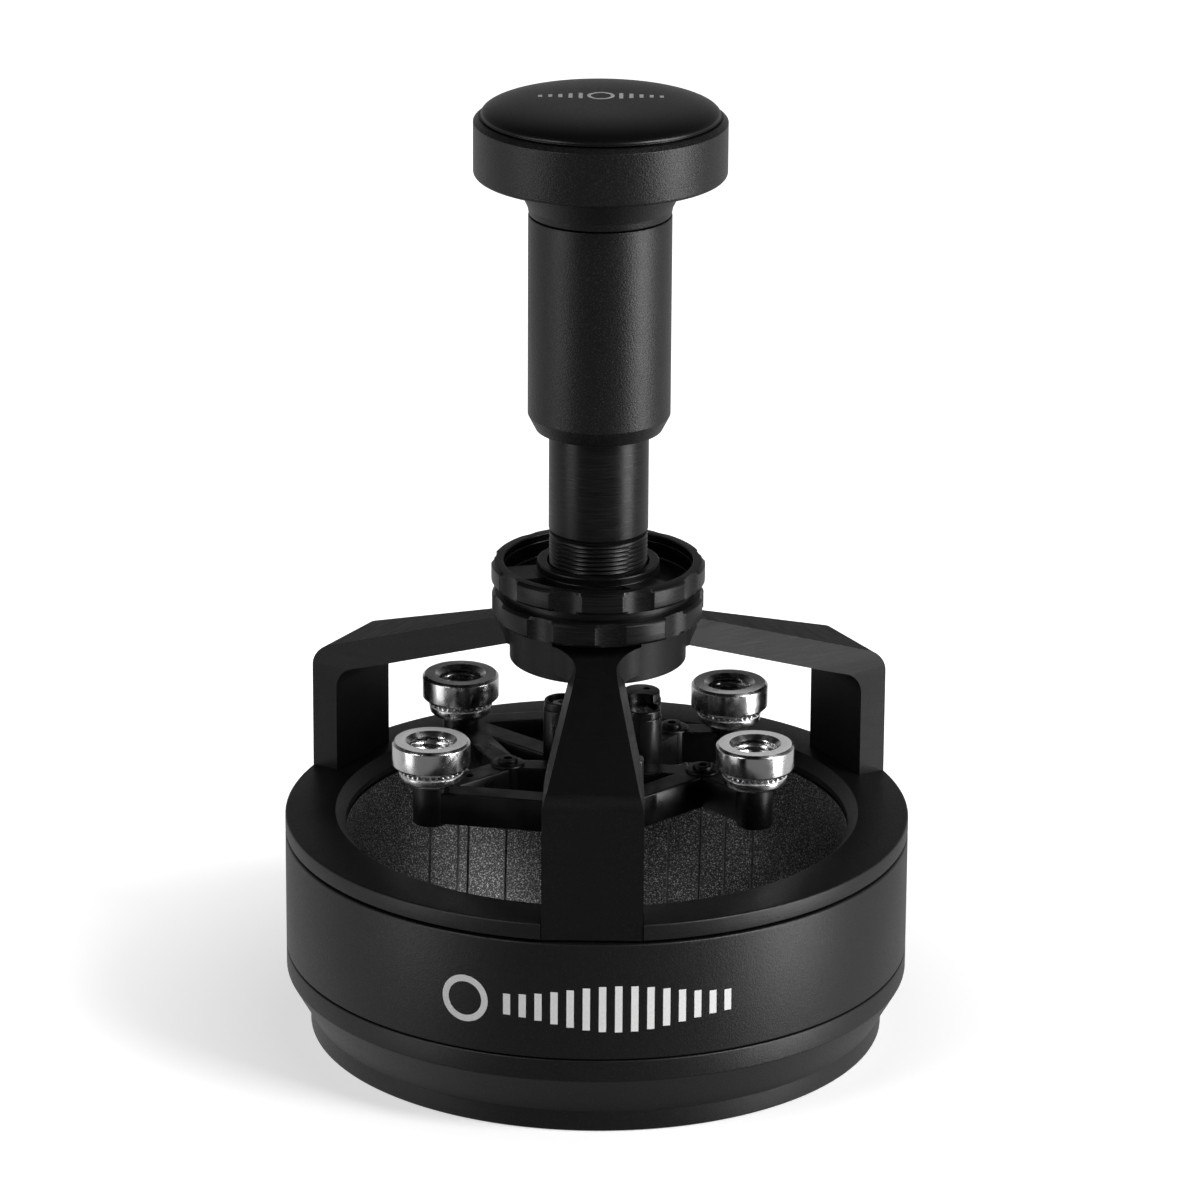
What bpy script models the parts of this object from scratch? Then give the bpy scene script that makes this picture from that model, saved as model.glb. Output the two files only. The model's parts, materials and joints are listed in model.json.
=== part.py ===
"""Press-to-spin needle tool that stirs ground coffee in a 58 mm basket, at rest.

Sizes are in millimetres. The part stands on z = 0 with its turning axis on Z, and the front arm
of the arch points along -Y. Pressing the knob slides the handle down on the guide tube. The
twisted spindle then turns in the fixed drive nut and spins the needle carrier. The depth ring
screws the guide tube up and down through the hub, and the lock ring clamps it.
"""

import math

import bmesh
import bpy
from mathutils import Matrix, Vector

MM = 0.001
TURN = 2 * math.pi
GAP = 0.3  # between faces that touch on the real piece

# Base: three stacked rings with one bore
BODY_R, BORE_R, FOOT_R, MOUTH_R = 35.0, 28.2, 32.3, 29.35
FOOT_TOP, CONE_TOP, BASE_TOP = 2.4, 7.1, 9.4
SHELL_BOTTOM, SHELL_TOP = 9.7, 23.1
FLANGE_BOTTOM, FLANGE_TOP = 23.46, 25.33
SPIGOT_R, SPIGOT_TOP = 30.4, 14.0
EDGE = 0.4

# Facets round a turned shape: rings, handle pieces, small pieces and screws
LARGE, MEDIUM, SMALL, TINY = 48, 32, 16, 8

# Arch: three sloping arms on flat legs, joined by a hub
ARM_ANGLES = (-90.7, 29.3, 149.3)
LEG_R, LEG_THICKNESS, LEG_WIDTH = 34.4, 3.2, 11.0
ARM_TOP_AT_AXIS, ARM_SLOPE, ARM_THICKNESS = 50.26, 0.3156, 3.15
ARM_INNER_R, ARM_OUTER_FILLET, ARM_INNER_FILLET = 8.0, 2.5, 2.8
WAIST_FROM, WAIST_AT, WAIST_WIDTH = 38.6, 46.2, 4.3
SHOULDER_ROUND, WAIST_ROUND, FILLET_HEIGHT = 10.0, 5.0, 14.0
HUB_R, HUB_BOTTOM, HUB_TOP, HUB_FILLET = 9.82, 43.6, 48.25, 5.0
STEM_BORE_R = 5.65

# Screws that hold the legs and the flange from below
SCREW_HEAD_R, SCREW_SHANK_R, SCREW_HOLE_R = 1.4, 0.75, 1.05
SCREW_HEAD_BOTTOM, SCREW_HEAD_TOP, SOCKET_HALF, SOCKET_DEPTH = 10.4, 12.2, 0.7, 0.9
LEG_SCREW_TOP, FLANGE_SCREW_TOP = 29.0, 24.5

# Rings on the threaded stem
RING_SCALLOPS, SCALLOP_R, SCALLOP_AT = 9, 4.92, 16.27
DEPTH_R, DEPTH_BOTTOM, DEPTH_TOP, DEPTH_FIRST = 11.8, 48.55, 51.22, -83.0
DEPTH_STEP_R, DEPTH_STEP_TOP = 10.6, 52.3
LOCK_R, LOCK_BOTTOM, LOCK_TOP, LOCK_FIRST = 11.87, 52.35, 54.85, -107.6
LOCK_RIM_R, LOCK_COLLAR_R, LOCK_FLOOR = 10.5, 6.8, 53.9
SPOKE_ANGLES, SPOKE_WIDTH = (-167.0, -47.0, 73.0), 4.4

# Stem: the guide tube and what is pressed into it
TUBE_R, THREAD_R, TUBE_BORE_R = 5.52, 5.3, 4.3
TUBE_BOTTOM, THREAD_TOP, TUBE_TOP = 44.0, 58.65, 77.5
KEYWAY_WIDTH, KEYWAY_R, KEYWAY_TOP, KEY_Z = 2.2, 4.62, 50.3, 46.0
INSERT_R = 4.0
BUSH_BOTTOM, BUSH_TOP, BUSH_BORE_R = 44.3, 49.0, 3.1
NUT_BOTTOM, NUT_TOP = 60.0, 63.2
THREAD_RELIEF = 0.25

# Rotor: the spindle, with a flat bar twisted once round in the 12 mm stroke of the handle
TWIST_LEAD = 12.0
BAR_WIDTH, BAR_THICKNESS, BAR_BOTTOM, BAR_TOP = 5.2, 2.2, 57.0, 77.5
SPINDLE_R, SPINDLE_BOTTOM, SHAFT_TOP = 2.8, 28.4, 58.0
JOURNAL_R, JOURNAL_BOTTOM, SPINDLE_TOP = 1.3, 76.5, 95.2
TOP_TAP_R, TOP_TAP_BOTTOM, BOTTOM_TAP_R, BOTTOM_TAP_TOP = 0.9, 88.5, 1.6, 34.5

# Handle: sleeve, knob and cap
SLEEVE_R, SLEEVE_BOTTOM, SLEEVE_SHOULDER, SLEEVE_TOP = 7.87, 70.2, 71.93, 94.65
SLEEVE_NOSE_R, SLEEVE_BORE_R, SLEEVE_LIP_R, SLEEVE_LIP_TOP = 6.99, 7.0, 5.85, 71.4
SLEEVE_BUSH_TOP = 77.7
KNOB_SPIGOT_R, KNOB_BOTTOM, NECK_R, NECK_BOTTOM = 6.7, 90.9, 7.8, 94.95
KNOB_R, KNOB_UNDER, KNOB_EDGE, KNOB_TOP = 13.86, 99.15, 105.1, 105.62
KNOB_FACE_R, CAP_SEAT_R, CAP_SEAT, CAP_R, CAP_APEX = 13.3, 12.5, 103.2, 13.15, 107.3
FLARE_R, FLARE_HEIGHT = 4.2, 3.15
BEARING_R, BEARING_BOTTOM, BEARING_TOP = 4.0, 91.3, 95.0
OUTER_RACE_BORE_R, INNER_RACE_R = 3.1, 2.4
ACCESS_R = 2.8

# Return spring, between the drive nut and the washer under the bearing
SPRING_R, WIRE_R, SPRING_TURNS, SPRING_BOTTOM, SPRING_TOP = 3.6, 0.4, 9.0, 63.9, 89.8
WASHER_BOTTOM, WASHER_TOP = 90.2, 90.7

# Needle carrier: a flat truss with bosses, and needles that hang from it
TRUSS_BOTTOM, TRUSS_TOP, BAR_WALL = 26.6, 30.3, 3.0
CARRIER_HUB_R, CARRIER_HUB_TOP, SOCKET_R, SOCKET_FLOOR = 4.6, 32.0, 3.1, 28.1
POST_R, POST_BOTTOM, POST_TOP = 2.05, 26.3, 32.6
LEFT_FRONT, LEFT_BACK = (-18.4, -7.1), (-15.6, 14.5)
RIGHT_BACK, RIGHT_FRONT = (15.0, 12.1), (17.5, -7.5)
LEFT_BOSS, RIGHT_BACK_BOSS, RIGHT_BOSS = (-10.0, 0.5), (8.5, 12.1), (11.8, -1.2)
LEFT_EYE = (-14.2, -3.3)
FRONT_CORNER, RIGHT_CORNER, BACK_CORNER = (1.5, -11.0), (5.5, -7.2), (-3.7, 16.6)
BOSS_R, BOSS_TOP = 1.9, 31.0
TOWER_R, LEFT_TOWER, LEFT_TOWER_TOP = 2.1, (-3.86, 3.63), 36.9
RIGHT_TOWER, RIGHT_TOWER_TOP, RIGHT_DISH, RIGHT_DISH_TOP = (4.94, 5.6), 37.3, (5.0, 2.8), 36.3
TOWER_HOLE_R, TOWER_HOLE_BOTTOM, TOWER_SCREW_R, TOWER_SCREW_BOTTOM, SUNK = 1.3, 30.8, 1.0, 31.1, 0.35
FRONT_PIN, FRONT_PIN_TOP, PIN_SHANK_BOTTOM = (3.07, -6.9), 33.9, 27.6
CARRIER_TAP_R = 1.6
NEEDLE_R, NEEDLE_HOLE_R, NEEDLE_TIP, NEEDLE_POINT, NEEDLE_TOP = 0.2, 0.48, 5.5, 0.8, 29.6

# Clinch nuts on the posts
NUT_BODY_R, NUT_COLLAR_R, NUT_HOLE_R, NUT_CHAMFER = 4.35, 3.6, 2.38, 0.45
CLINCH_BOTTOM, CLINCH_SHOULDER, CLINCH_TOP = 31.2, 33.0, 36.0

# Screws on the axis: head radius, near and far face of the head, shank radius and shank end
SPINDLE_SCREW = (2.1, 95.5, 96.8, 0.6, 89.0)
CARRIER_SCREW = (2.5, 26.3, 25.2, 1.3, 34.0)

FINISHES = {
    "black_anodised": ((0.022, 0.023, 0.025), 1.0, 0.42),
    "turned_black": ((0.03, 0.031, 0.033), 1.0, 0.3),
    "chrome": ((0.62, 0.63, 0.65), 1.0, 0.12),
    "black_plastic": ((0.012, 0.012, 0.013), 0.0, 0.38),
    "steel": ((0.5, 0.5, 0.51), 1.0, 0.28),
    "bush_polymer": ((0.75, 0.73, 0.66), 0.0, 0.5),
}


# ---------------------------------------------------------------- shapes


def start_scene():
    for obj in list(bpy.data.objects):
        bpy.data.objects.remove(obj)
    for name in ("press_to_spin_needle_tool", "cutters"):
        bpy.context.scene.collection.children.link(bpy.data.collections.new(name))
    for name, (colour, metallic, roughness) in FINISHES.items():
        finish = bpy.data.materials.new(name)
        finish.use_nodes = True
        shader = finish.node_tree.nodes["Principled BSDF"]
        shader.inputs["Base Color"].default_value = (*colour, 1.0)
        shader.inputs["Metallic"].default_value = metallic
        shader.inputs["Roughness"].default_value = roughness


def add_object(name, data, finish):
    """A part when it has a finish, and otherwise a hidden helper that cuts or joins."""
    obj = bpy.data.objects.new(name, data)
    if finish:
        data.materials.append(bpy.data.materials[finish])
        bpy.data.collections["press_to_spin_needle_tool"].objects.link(obj)
    else:
        obj.hide_render = True
        obj.display_type = "WIRE"
        bpy.data.collections["cutters"].objects.link(obj)
    return obj


def turned(name, profile, finish=None, steps=MEDIUM, at=(0.0, 0.0)):
    """Turned about a vertical axis. The (radius, height) profile runs down its outer side."""
    count = len(profile)
    open_chain = profile[0][0] == 0
    mesh = bpy.data.meshes.new(name)
    mesh.from_pydata(
        [(r * MM, 0, z * MM) for r, z in profile],
        [(i, (i + 1) % count) for i in range(count - open_chain)],
        [],
    )
    obj = add_object(name, mesh, finish)
    obj.location = (at[0] * MM, at[1] * MM, 0)
    screw = obj.modifiers.new("turn", "SCREW")
    screw.steps = screw.render_steps = steps
    screw.use_merge_vertices = True
    screw.merge_threshold = 1e-6
    return obj


def rod(name, radius, bottom, top, finish=None, steps=SMALL, at=(0.0, 0.0)):
    return turned(name, [(0, top), (radius, top), (radius, bottom), (0, bottom)], finish, steps, at)


def tube(name, inner, outer, bottom, top, finish=None, steps=MEDIUM, at=(0.0, 0.0)):
    profile = [(inner, top), (outer, top), (outer, bottom), (inner, bottom)]
    return turned(name, profile, finish, steps, at)


def box(name, low, high, finish=None):
    mesh = bpy.data.meshes.new(name)
    shape = bmesh.new()
    bmesh.ops.create_cube(shape, size=1.0)
    size = [(b - a) * MM for a, b in zip(low, high)]
    middle = [(a + b) / 2 * MM for a, b in zip(low, high)]
    bmesh.ops.scale(shape, vec=size, verts=shape.verts)
    bmesh.ops.translate(shape, vec=middle, verts=shape.verts)
    shape.to_mesh(mesh)
    shape.free()
    return add_object(name, mesh, finish)


def plate(name, outline, thickness, finish=None):
    """A closed outline in the XY plane, as thick above the plane as below it."""
    curve = bpy.data.curves.new(name, "CURVE")
    curve.dimensions = "2D"
    curve.fill_mode = "BOTH"
    curve.extrude = thickness / 2 * MM
    spline = curve.splines.new("POLY")
    spline.points.add(len(outline) - 1)
    spline.use_cyclic_u = True
    for point, (x, y) in zip(spline.points, outline):
        point.co = (x * MM, y * MM, 0, 1)
    guide = bpy.data.objects.new(name + "_outline", curve)
    bpy.context.scene.collection.objects.link(guide)
    mesh = mesh_of(guide)
    bpy.data.objects.remove(guide)
    return add_object(name, mesh, finish)


def mesh_of(obj):
    """The object as its modifiers leave it, with loose caps welded."""
    graph = bpy.context.evaluated_depsgraph_get()
    mesh = bpy.data.meshes.new_from_object(obj.evaluated_get(graph))
    shape = bmesh.new()
    shape.from_mesh(mesh)
    bmesh.ops.remove_doubles(shape, verts=shape.verts, dist=1e-7)
    shape.to_mesh(mesh)
    shape.free()
    return mesh


def rounded(corners, steps=6):
    """An outline whose (x, y, radius) corners are replaced by arcs."""
    outline = []
    for i, (x, y, radius) in enumerate(corners):
        corner = Vector((x, y))
        if not radius:
            outline.append(corner)
            continue
        back = (Vector(corners[i - 1][:2]) - corner).normalized()
        ahead = (Vector(corners[(i + 1) % len(corners)][:2]) - corner).normalized()
        half = back.angle(ahead) / 2
        centre = corner + (back + ahead).normalized() * radius / math.sin(half)
        first = corner + back * radius / math.tan(half) - centre
        last = corner + ahead * radius / math.tan(half) - centre
        sweep = first.angle_signed(last)
        for k in range(steps + 1):
            turn = Matrix.Rotation(-sweep * k / steps, 2)
            outline.append(centre + turn @ first)
    return [tuple(point) for point in outline]


def boolean(obj, other, operation="DIFFERENCE", solver="EXACT"):
    step = obj.modifiers.new(operation.lower(), "BOOLEAN")
    step.operation = operation
    step.solver = solver
    step.object = other
    return obj


def around(angle, radius):
    return radius * math.cos(math.radians(angle)), radius * math.sin(math.radians(angle))


def turn_to(obj, angle):
    obj.rotation_euler = (0, 0, math.radians(angle))
    return obj


# ---------------------------------------------------------------- base


def base_ring():
    profile = [
        (BORE_R, SPIGOT_TOP),
        (SPIGOT_R, SPIGOT_TOP),
        (SPIGOT_R, BASE_TOP),
        (BODY_R - EDGE / 2, BASE_TOP),
        (BODY_R, BASE_TOP - EDGE / 2),
        (BODY_R, CONE_TOP),
        (FOOT_R, FOOT_TOP),
        (FOOT_R, 0),
        (BORE_R, 0),
    ]
    turned("base_ring", profile, "black_anodised", LARGE)


def body_shell():
    profile = [
        (BORE_R, SHELL_TOP),
        (BODY_R - EDGE, SHELL_TOP),
        (BODY_R, SHELL_TOP - EDGE),
        (BODY_R, SHELL_BOTTOM + EDGE / 2),
        (BODY_R - EDGE / 2, SHELL_BOTTOM),
        (SPIGOT_R + GAP, SHELL_BOTTOM),
        (SPIGOT_R + GAP, SPIGOT_TOP + GAP),
        (BORE_R, SPIGOT_TOP + GAP),
    ]
    shell = turned("body_shell", profile, "black_anodised", LARGE)
    for x, y in leg_screw_places() + flange_screw_places():
        boolean(shell, screw_hole("shell_hole", SHELL_TOP + 1, (x, y)))


def top_ring():
    profile = [
        (MOUTH_R, FLANGE_TOP),
        (BODY_R - EDGE / 2, FLANGE_TOP),
        (BODY_R, FLANGE_TOP - EDGE / 2),
        (BODY_R, FLANGE_BOTTOM),
        (BORE_R, FLANGE_BOTTOM),
        (BORE_R, FLANGE_TOP - (MOUTH_R - BORE_R)),
    ]
    ring = turned("top_ring", profile, "turned_black", LARGE)
    for angle in ARM_ANGLES:
        half = LEG_WIDTH / 2 + GAP
        low = (LEG_R - LEG_THICKNESS - GAP, -half, FLANGE_BOTTOM - 2)
        boolean(ring, turn_to(box("leg_notch", low, (BODY_R + 2, half, FLANGE_TOP + 2)), angle))
    for place in flange_screw_places():
        boolean(ring, screw_hole("flange_hole", FLANGE_TOP - 0.5, place))


def leg_screw_places():
    return [around(angle, LEG_R - LEG_THICKNESS / 2) for angle in ARM_ANGLES]


def flange_screw_places():
    return [around(angle + 60, LEG_R - LEG_THICKNESS / 2) for angle in ARM_ANGLES]


def screw_hole(name, top, place):
    """A hole for a shank, with a counterbore for the head, open below."""
    profile = [
        (0, top),
        (SCREW_HOLE_R, top),
        (SCREW_HOLE_R, SCREW_HEAD_TOP + GAP),
        (SCREW_HEAD_R + GAP, SCREW_HEAD_TOP + GAP),
        (SCREW_HEAD_R + GAP, SHELL_BOTTOM - 2),
        (0, SHELL_BOTTOM - 2),
    ]
    return turned(name, profile, None, TINY, place)


def cap_screw(name, place, top):
    profile = [
        (0, top),
        (SCREW_SHANK_R, top),
        (SCREW_SHANK_R, SCREW_HEAD_TOP),
        (SCREW_HEAD_R, SCREW_HEAD_TOP),
        (SCREW_HEAD_R, SCREW_HEAD_BOTTOM),
        (SOCKET_HALF, SCREW_HEAD_BOTTOM),
        (SOCKET_HALF, SCREW_HEAD_BOTTOM + SOCKET_DEPTH),
        (0, SCREW_HEAD_BOTTOM + SOCKET_DEPTH),
    ]
    turned(name, profile, "steel", TINY, place)


def arm_top(radius):
    return ARM_TOP_AT_AXIS - ARM_SLOPE * radius


def stood_along(obj, angle):
    """Stands a flat helper up, so that its X runs out along an arm and its Y runs up."""
    obj.matrix_world = Matrix.Rotation(math.radians(angle), 4, "Z") @ Matrix.Rotation(TURN / 4, 4, "X")
    return obj


def hub_fillets(angle):
    """The plan shape where both sides of an arm's waist curve out to meet the hub."""
    waist = WAIST_WIDTH / 2
    centre_y = waist + HUB_FILLET
    centre_x = math.sqrt((HUB_R + HUB_FILLET) ** 2 - centre_y**2)
    sweep = math.atan2(centre_x, centre_y)
    half = [(ARM_INNER_R, 0.9 * HUB_R * math.cos(sweep))]
    for k in range(7):
        turn = sweep * (1 - k / 6)
        half.append((centre_x - HUB_FILLET * math.sin(turn), centre_y - HUB_FILLET * math.cos(turn)))
    outline = half + [(x, -y) for x, y in reversed(half)]
    fillets = turn_to(plate("hub_fillets", outline, FILLET_HEIGHT), angle)
    fillets.location = (0, 0, WAIST_AT * MM)
    return fillets


def arch_arm(angle):
    """One arm with its leg: a bent strip whose sides close in to a waist near the hub."""
    leg_inner = LEG_R - LEG_THICKNESS
    foot = SHELL_TOP + GAP
    side = rounded([
        (ARM_INNER_R, arm_top(ARM_INNER_R), 0),
        (LEG_R, arm_top(LEG_R), ARM_OUTER_FILLET),
        (LEG_R, foot, 0),
        (leg_inner, foot, 0),
        (leg_inner, arm_top(leg_inner) - ARM_THICKNESS, ARM_INNER_FILLET),
        (ARM_INNER_R, arm_top(ARM_INNER_R) - ARM_THICKNESS, 0),
    ])
    half = [
        (LEG_WIDTH / 2, foot - 2, 0),
        (LEG_WIDTH / 2, WAIST_FROM, SHOULDER_ROUND),
        (WAIST_WIDTH / 2, WAIST_AT, WAIST_ROUND),
        (WAIST_WIDTH / 2, HUB_TOP + 2, 0),
    ]
    front = rounded(half + [(-y, z, radius) for y, z, radius in reversed(half)])
    width = stood_along(plate("arm_width", front, 2 * BODY_R + 10), angle + 90)
    boolean(width, hub_fillets(angle), "UNION", "MANIFOLD")
    arm = stood_along(plate("arm", side, LEG_WIDTH + 2), angle)
    return boolean(arm, width, "INTERSECT", "MANIFOLD")


def hub_relief(angle):
    """What the cutter that slopes the arm's top also takes off the hub."""
    inner = (ARM_TOP_AT_AXIS - HUB_TOP) / ARM_SLOPE
    outer = HUB_R + HUB_FILLET
    side = [(inner, arm_top(inner)), (outer, arm_top(outer)), (outer, HUB_TOP + 3), (inner, HUB_TOP + 3)]
    return stood_along(plate("hub_relief", side, HUB_R), angle)


def arch_frame():
    hub = rod("arch_frame", HUB_R, HUB_BOTTOM, HUB_TOP, "turned_black", MEDIUM)
    for angle, place in zip(ARM_ANGLES, leg_screw_places()):
        boolean(hub, hub_relief(angle), solver="MANIFOLD")
        boolean(hub, arch_arm(angle), "UNION", "MANIFOLD")
        hole = rod("leg_hole", SCREW_HOLE_R, 20, LEG_SCREW_TOP + 0.5, None, TINY, place)
        boolean(hub, hole, solver="MANIFOLD")
    bore = rod("stem_hole", STEM_BORE_R, HUB_BOTTOM - 3, HUB_TOP + 3, None, MEDIUM)
    boolean(hub, bore, solver="MANIFOLD")
    hole = rod("key_hole", SCREW_HOLE_R, 3.0, HUB_R + 3, None, TINY)
    boolean(hub, lay_back(hole), solver="MANIFOLD")


def lay_back(obj):
    """Lays an upright helper along +Y at the key's height."""
    obj.rotation_euler = (math.radians(-90), 0, 0)
    obj.location = (0, 0, KEY_Z * MM)
    return obj


def key_screw():
    lay_back(rod("key_screw", SCREW_SHANK_R, KEYWAY_R + GAP, HUB_R - 0.6, "steel", TINY))


# ---------------------------------------------------------------- stem and its rings


def scalloped(ring, first_angle, bottom, top):
    for k in range(RING_SCALLOPS):
        place = around(first_angle + k * 360 / RING_SCALLOPS, SCALLOP_AT)
        boolean(ring, rod("scallop", SCALLOP_R, bottom - 2, top + 2, None, SMALL, place))
    return ring


def depth_ring():
    profile = [
        (STEM_BORE_R, DEPTH_STEP_TOP),
        (DEPTH_STEP_R, DEPTH_STEP_TOP),
        (DEPTH_STEP_R, DEPTH_TOP),
        (DEPTH_R - EDGE, DEPTH_TOP),
        (DEPTH_R, DEPTH_TOP - EDGE),
        (DEPTH_R, DEPTH_BOTTOM + EDGE),
        (DEPTH_R - EDGE, DEPTH_BOTTOM),
        (STEM_BORE_R, DEPTH_BOTTOM),
    ]
    ring = turned("depth_ring", profile, "turned_black", LARGE)
    scalloped(ring, DEPTH_FIRST, DEPTH_BOTTOM, DEPTH_TOP)


def lock_ring():
    profile = [
        (STEM_BORE_R, LOCK_TOP),
        (LOCK_COLLAR_R, LOCK_TOP),
        (LOCK_COLLAR_R, LOCK_FLOOR),
        (LOCK_RIM_R, LOCK_FLOOR),
        (LOCK_RIM_R, LOCK_TOP),
        (LOCK_R - EDGE, LOCK_TOP),
        (LOCK_R, LOCK_TOP - EDGE),
        (LOCK_R, LOCK_BOTTOM + EDGE),
        (LOCK_R - EDGE, LOCK_BOTTOM),
        (STEM_BORE_R, LOCK_BOTTOM),
    ]
    ring = turned("lock_ring", profile, "turned_black", LARGE)
    scalloped(ring, LOCK_FIRST, LOCK_BOTTOM, LOCK_TOP)
    windows = tube("windows", LOCK_COLLAR_R + 0.05, LOCK_RIM_R - 0.05, LOCK_BOTTOM - 1, LOCK_TOP + 1)
    for angle in SPOKE_ANGLES:
        low = (0, -SPOKE_WIDTH / 2, LOCK_BOTTOM - 3)
        spoke = box("spoke", low, (LOCK_R + 2, SPOKE_WIDTH / 2, LOCK_TOP + 3))
        boolean(windows, turn_to(spoke, angle))
    boolean(ring, windows)


def guide_tube():
    profile = [
        (TUBE_BORE_R, TUBE_TOP),
        (TUBE_R - EDGE, TUBE_TOP),
        (TUBE_R, TUBE_TOP - EDGE),
        (TUBE_R, THREAD_TOP),
        (THREAD_R, THREAD_TOP - THREAD_RELIEF),
        (THREAD_R, TUBE_BOTTOM),
        (TUBE_BORE_R, TUBE_BOTTOM),
    ]
    stem = turned("guide_tube", profile, "turned_black")
    low = (-KEYWAY_WIDTH / 2, KEYWAY_R, TUBE_BOTTOM - 2)
    boolean(stem, box("keyway", low, (KEYWAY_WIDTH / 2, TUBE_R + 2, KEYWAY_TOP)))


def twisted_bar(name, grow, bottom, top):
    """A flat bar twisted about Z, so that it makes one turn in each TWIST_LEAD of height."""
    bar = box(
        name,
        (-BAR_WIDTH / 2 - grow, -BAR_THICKNESS / 2 - grow, bottom),
        (BAR_WIDTH / 2 + grow, BAR_THICKNESS / 2 + grow, top),
    )
    height = (top - bottom) * MM
    shape = bmesh.new()
    shape.from_mesh(bar.data)
    upright = [edge for edge in shape.edges if edge.calc_length() > 0.9 * height]
    cuts = round(height / MM / 0.75)
    bmesh.ops.subdivide_edges(shape, edges=upright, cuts=cuts, use_grid_fill=True)
    shape.to_mesh(bar.data)
    shape.free()
    twist = bar.modifiers.new("twist", "SIMPLE_DEFORM")
    twist.deform_method = "TWIST"
    twist.deform_axis = "Z"
    twist.angle = TURN * (top - bottom) / TWIST_LEAD
    return bar


def drive_nut():
    nut = rod("drive_nut", INSERT_R, NUT_BOTTOM, NUT_TOP, "steel", SMALL)
    boolean(nut, twisted_bar("nut_slot", GAP, NUT_BOTTOM - 1.5, NUT_TOP + 1.5))


def return_spring():
    """One open coil with flat-lying end turns left out."""
    points_a_turn = 8
    count = round(SPRING_TURNS * points_a_turn)
    curve = bpy.data.curves.new("return_spring", "CURVE")
    curve.dimensions = "3D"
    curve.bevel_depth = WIRE_R * MM
    curve.bevel_resolution = 1
    curve.use_fill_caps = True
    spline = curve.splines.new("POLY")
    spline.points.add(count)
    for k, point in enumerate(spline.points):
        angle = TURN * k / points_a_turn
        height = SPRING_BOTTOM + WIRE_R + (SPRING_TOP - SPRING_BOTTOM - 2 * WIRE_R) * k / count
        x, y = SPRING_R * math.cos(angle), SPRING_R * math.sin(angle)
        point.co = (x * MM, y * MM, height * MM, 1)
    return add_object("return_spring", curve, "steel")


# ---------------------------------------------------------------- handle


def sleeve():
    profile = [
        (SLEEVE_BORE_R, SLEEVE_TOP),
        (SLEEVE_R - EDGE / 2, SLEEVE_TOP),
        (SLEEVE_R, SLEEVE_TOP - EDGE / 2),
        (SLEEVE_R, SLEEVE_SHOULDER),
        (SLEEVE_NOSE_R, SLEEVE_BOTTOM),
        (SLEEVE_LIP_R, SLEEVE_BOTTOM),
        (SLEEVE_LIP_R, SLEEVE_LIP_TOP),
        (SLEEVE_BORE_R, SLEEVE_LIP_TOP),
    ]
    turned("sleeve", profile, "black_anodised")
    bush_bottom, bush_r = SLEEVE_LIP_TOP + GAP, SLEEVE_BORE_R - GAP
    tube("sleeve_bush", SLEEVE_LIP_R, bush_r, bush_bottom, SLEEVE_BUSH_TOP, "bush_polymer")


def knob():
    flare = []
    for k in range(5):
        angle = TURN / 16 * k
        radius = NECK_R + 0.1 + FLARE_R * (1 - math.sin(angle))
        flare.append((radius, KNOB_UNDER - EDGE / 2 - FLARE_HEIGHT * (1 - math.cos(angle))))
    profile = [
        (CAP_SEAT_R, KNOB_TOP),
        (KNOB_FACE_R, KNOB_TOP),
        (KNOB_R, KNOB_EDGE),
        (KNOB_R, KNOB_UNDER + EDGE),
        (KNOB_R - EDGE, KNOB_UNDER),
        *flare,
        (NECK_R, NECK_BOTTOM),
        (KNOB_SPIGOT_R, NECK_BOTTOM),
        (KNOB_SPIGOT_R, KNOB_BOTTOM),
        (BEARING_R + GAP, KNOB_BOTTOM),
        (BEARING_R + GAP, BEARING_TOP + GAP),
        (ACCESS_R, BEARING_TOP + GAP),
        (ACCESS_R, CAP_SEAT),
        (CAP_SEAT_R, CAP_SEAT),
    ]
    turned("knob", profile, "black_anodised")


def knob_cap():
    """A lid whose spigot sits in the knob, with a flat crown that rolls over at the rim."""
    spigot_r, spigot_bottom, rim = CAP_SEAT_R - GAP, CAP_SEAT + GAP, KNOB_TOP + GAP
    crown = [(0, CAP_APEX)]
    for k in range(1, 5):
        angle = TURN / 4 * k / 4
        crown.append((CAP_R * math.sin(angle), rim + (CAP_APEX - rim) * math.cos(angle)))
    profile = crown + [(spigot_r, rim), (spigot_r, spigot_bottom), (0, spigot_bottom)]
    turned("knob_cap", profile, "black_anodised")


def bearing():
    height = (BEARING_BOTTOM, BEARING_TOP)
    tube("bearing_outer_race", OUTER_RACE_BORE_R, BEARING_R, *height, "steel", SMALL)
    tube("bearing_inner_race", JOURNAL_R + GAP, INNER_RACE_R, *height, "steel", SMALL)


# ---------------------------------------------------------------- rotor


def spindle():
    shaft = rod("spindle", SPINDLE_R, SPINDLE_BOTTOM, SHAFT_TOP, "steel", SMALL)
    boolean(shaft, twisted_bar("spindle_twist", 0, BAR_BOTTOM, BAR_TOP), "UNION")
    journal = rod("journal", JOURNAL_R, JOURNAL_BOTTOM, SPINDLE_TOP, None, SMALL)
    boolean(shaft, journal, "UNION")
    boolean(shaft, rod("top_tap", TOP_TAP_R, TOP_TAP_BOTTOM, SPINDLE_TOP + 2, None, TINY))
    boolean(shaft, rod("bottom_tap", BOTTOM_TAP_R, SPINDLE_BOTTOM - 2, BOTTOM_TAP_TOP, None, TINY))
    tube("spring_washer", JOURNAL_R + GAP, INSERT_R, WASHER_BOTTOM, WASHER_TOP, "steel", SMALL)


def headed_screw(name, head_r, near, far, shank_r, shank_end, at=(0.0, 0.0)):
    """A screw whose head lies between its near and far faces, with its shank beyond the near one."""
    profile = [(0, far), (head_r, far), (head_r, near), (shank_r, near), (shank_r, shank_end), (0, shank_end)]
    if shank_end > far:
        profile.reverse()
    turned(name, profile, "steel", SMALL, at)


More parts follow.
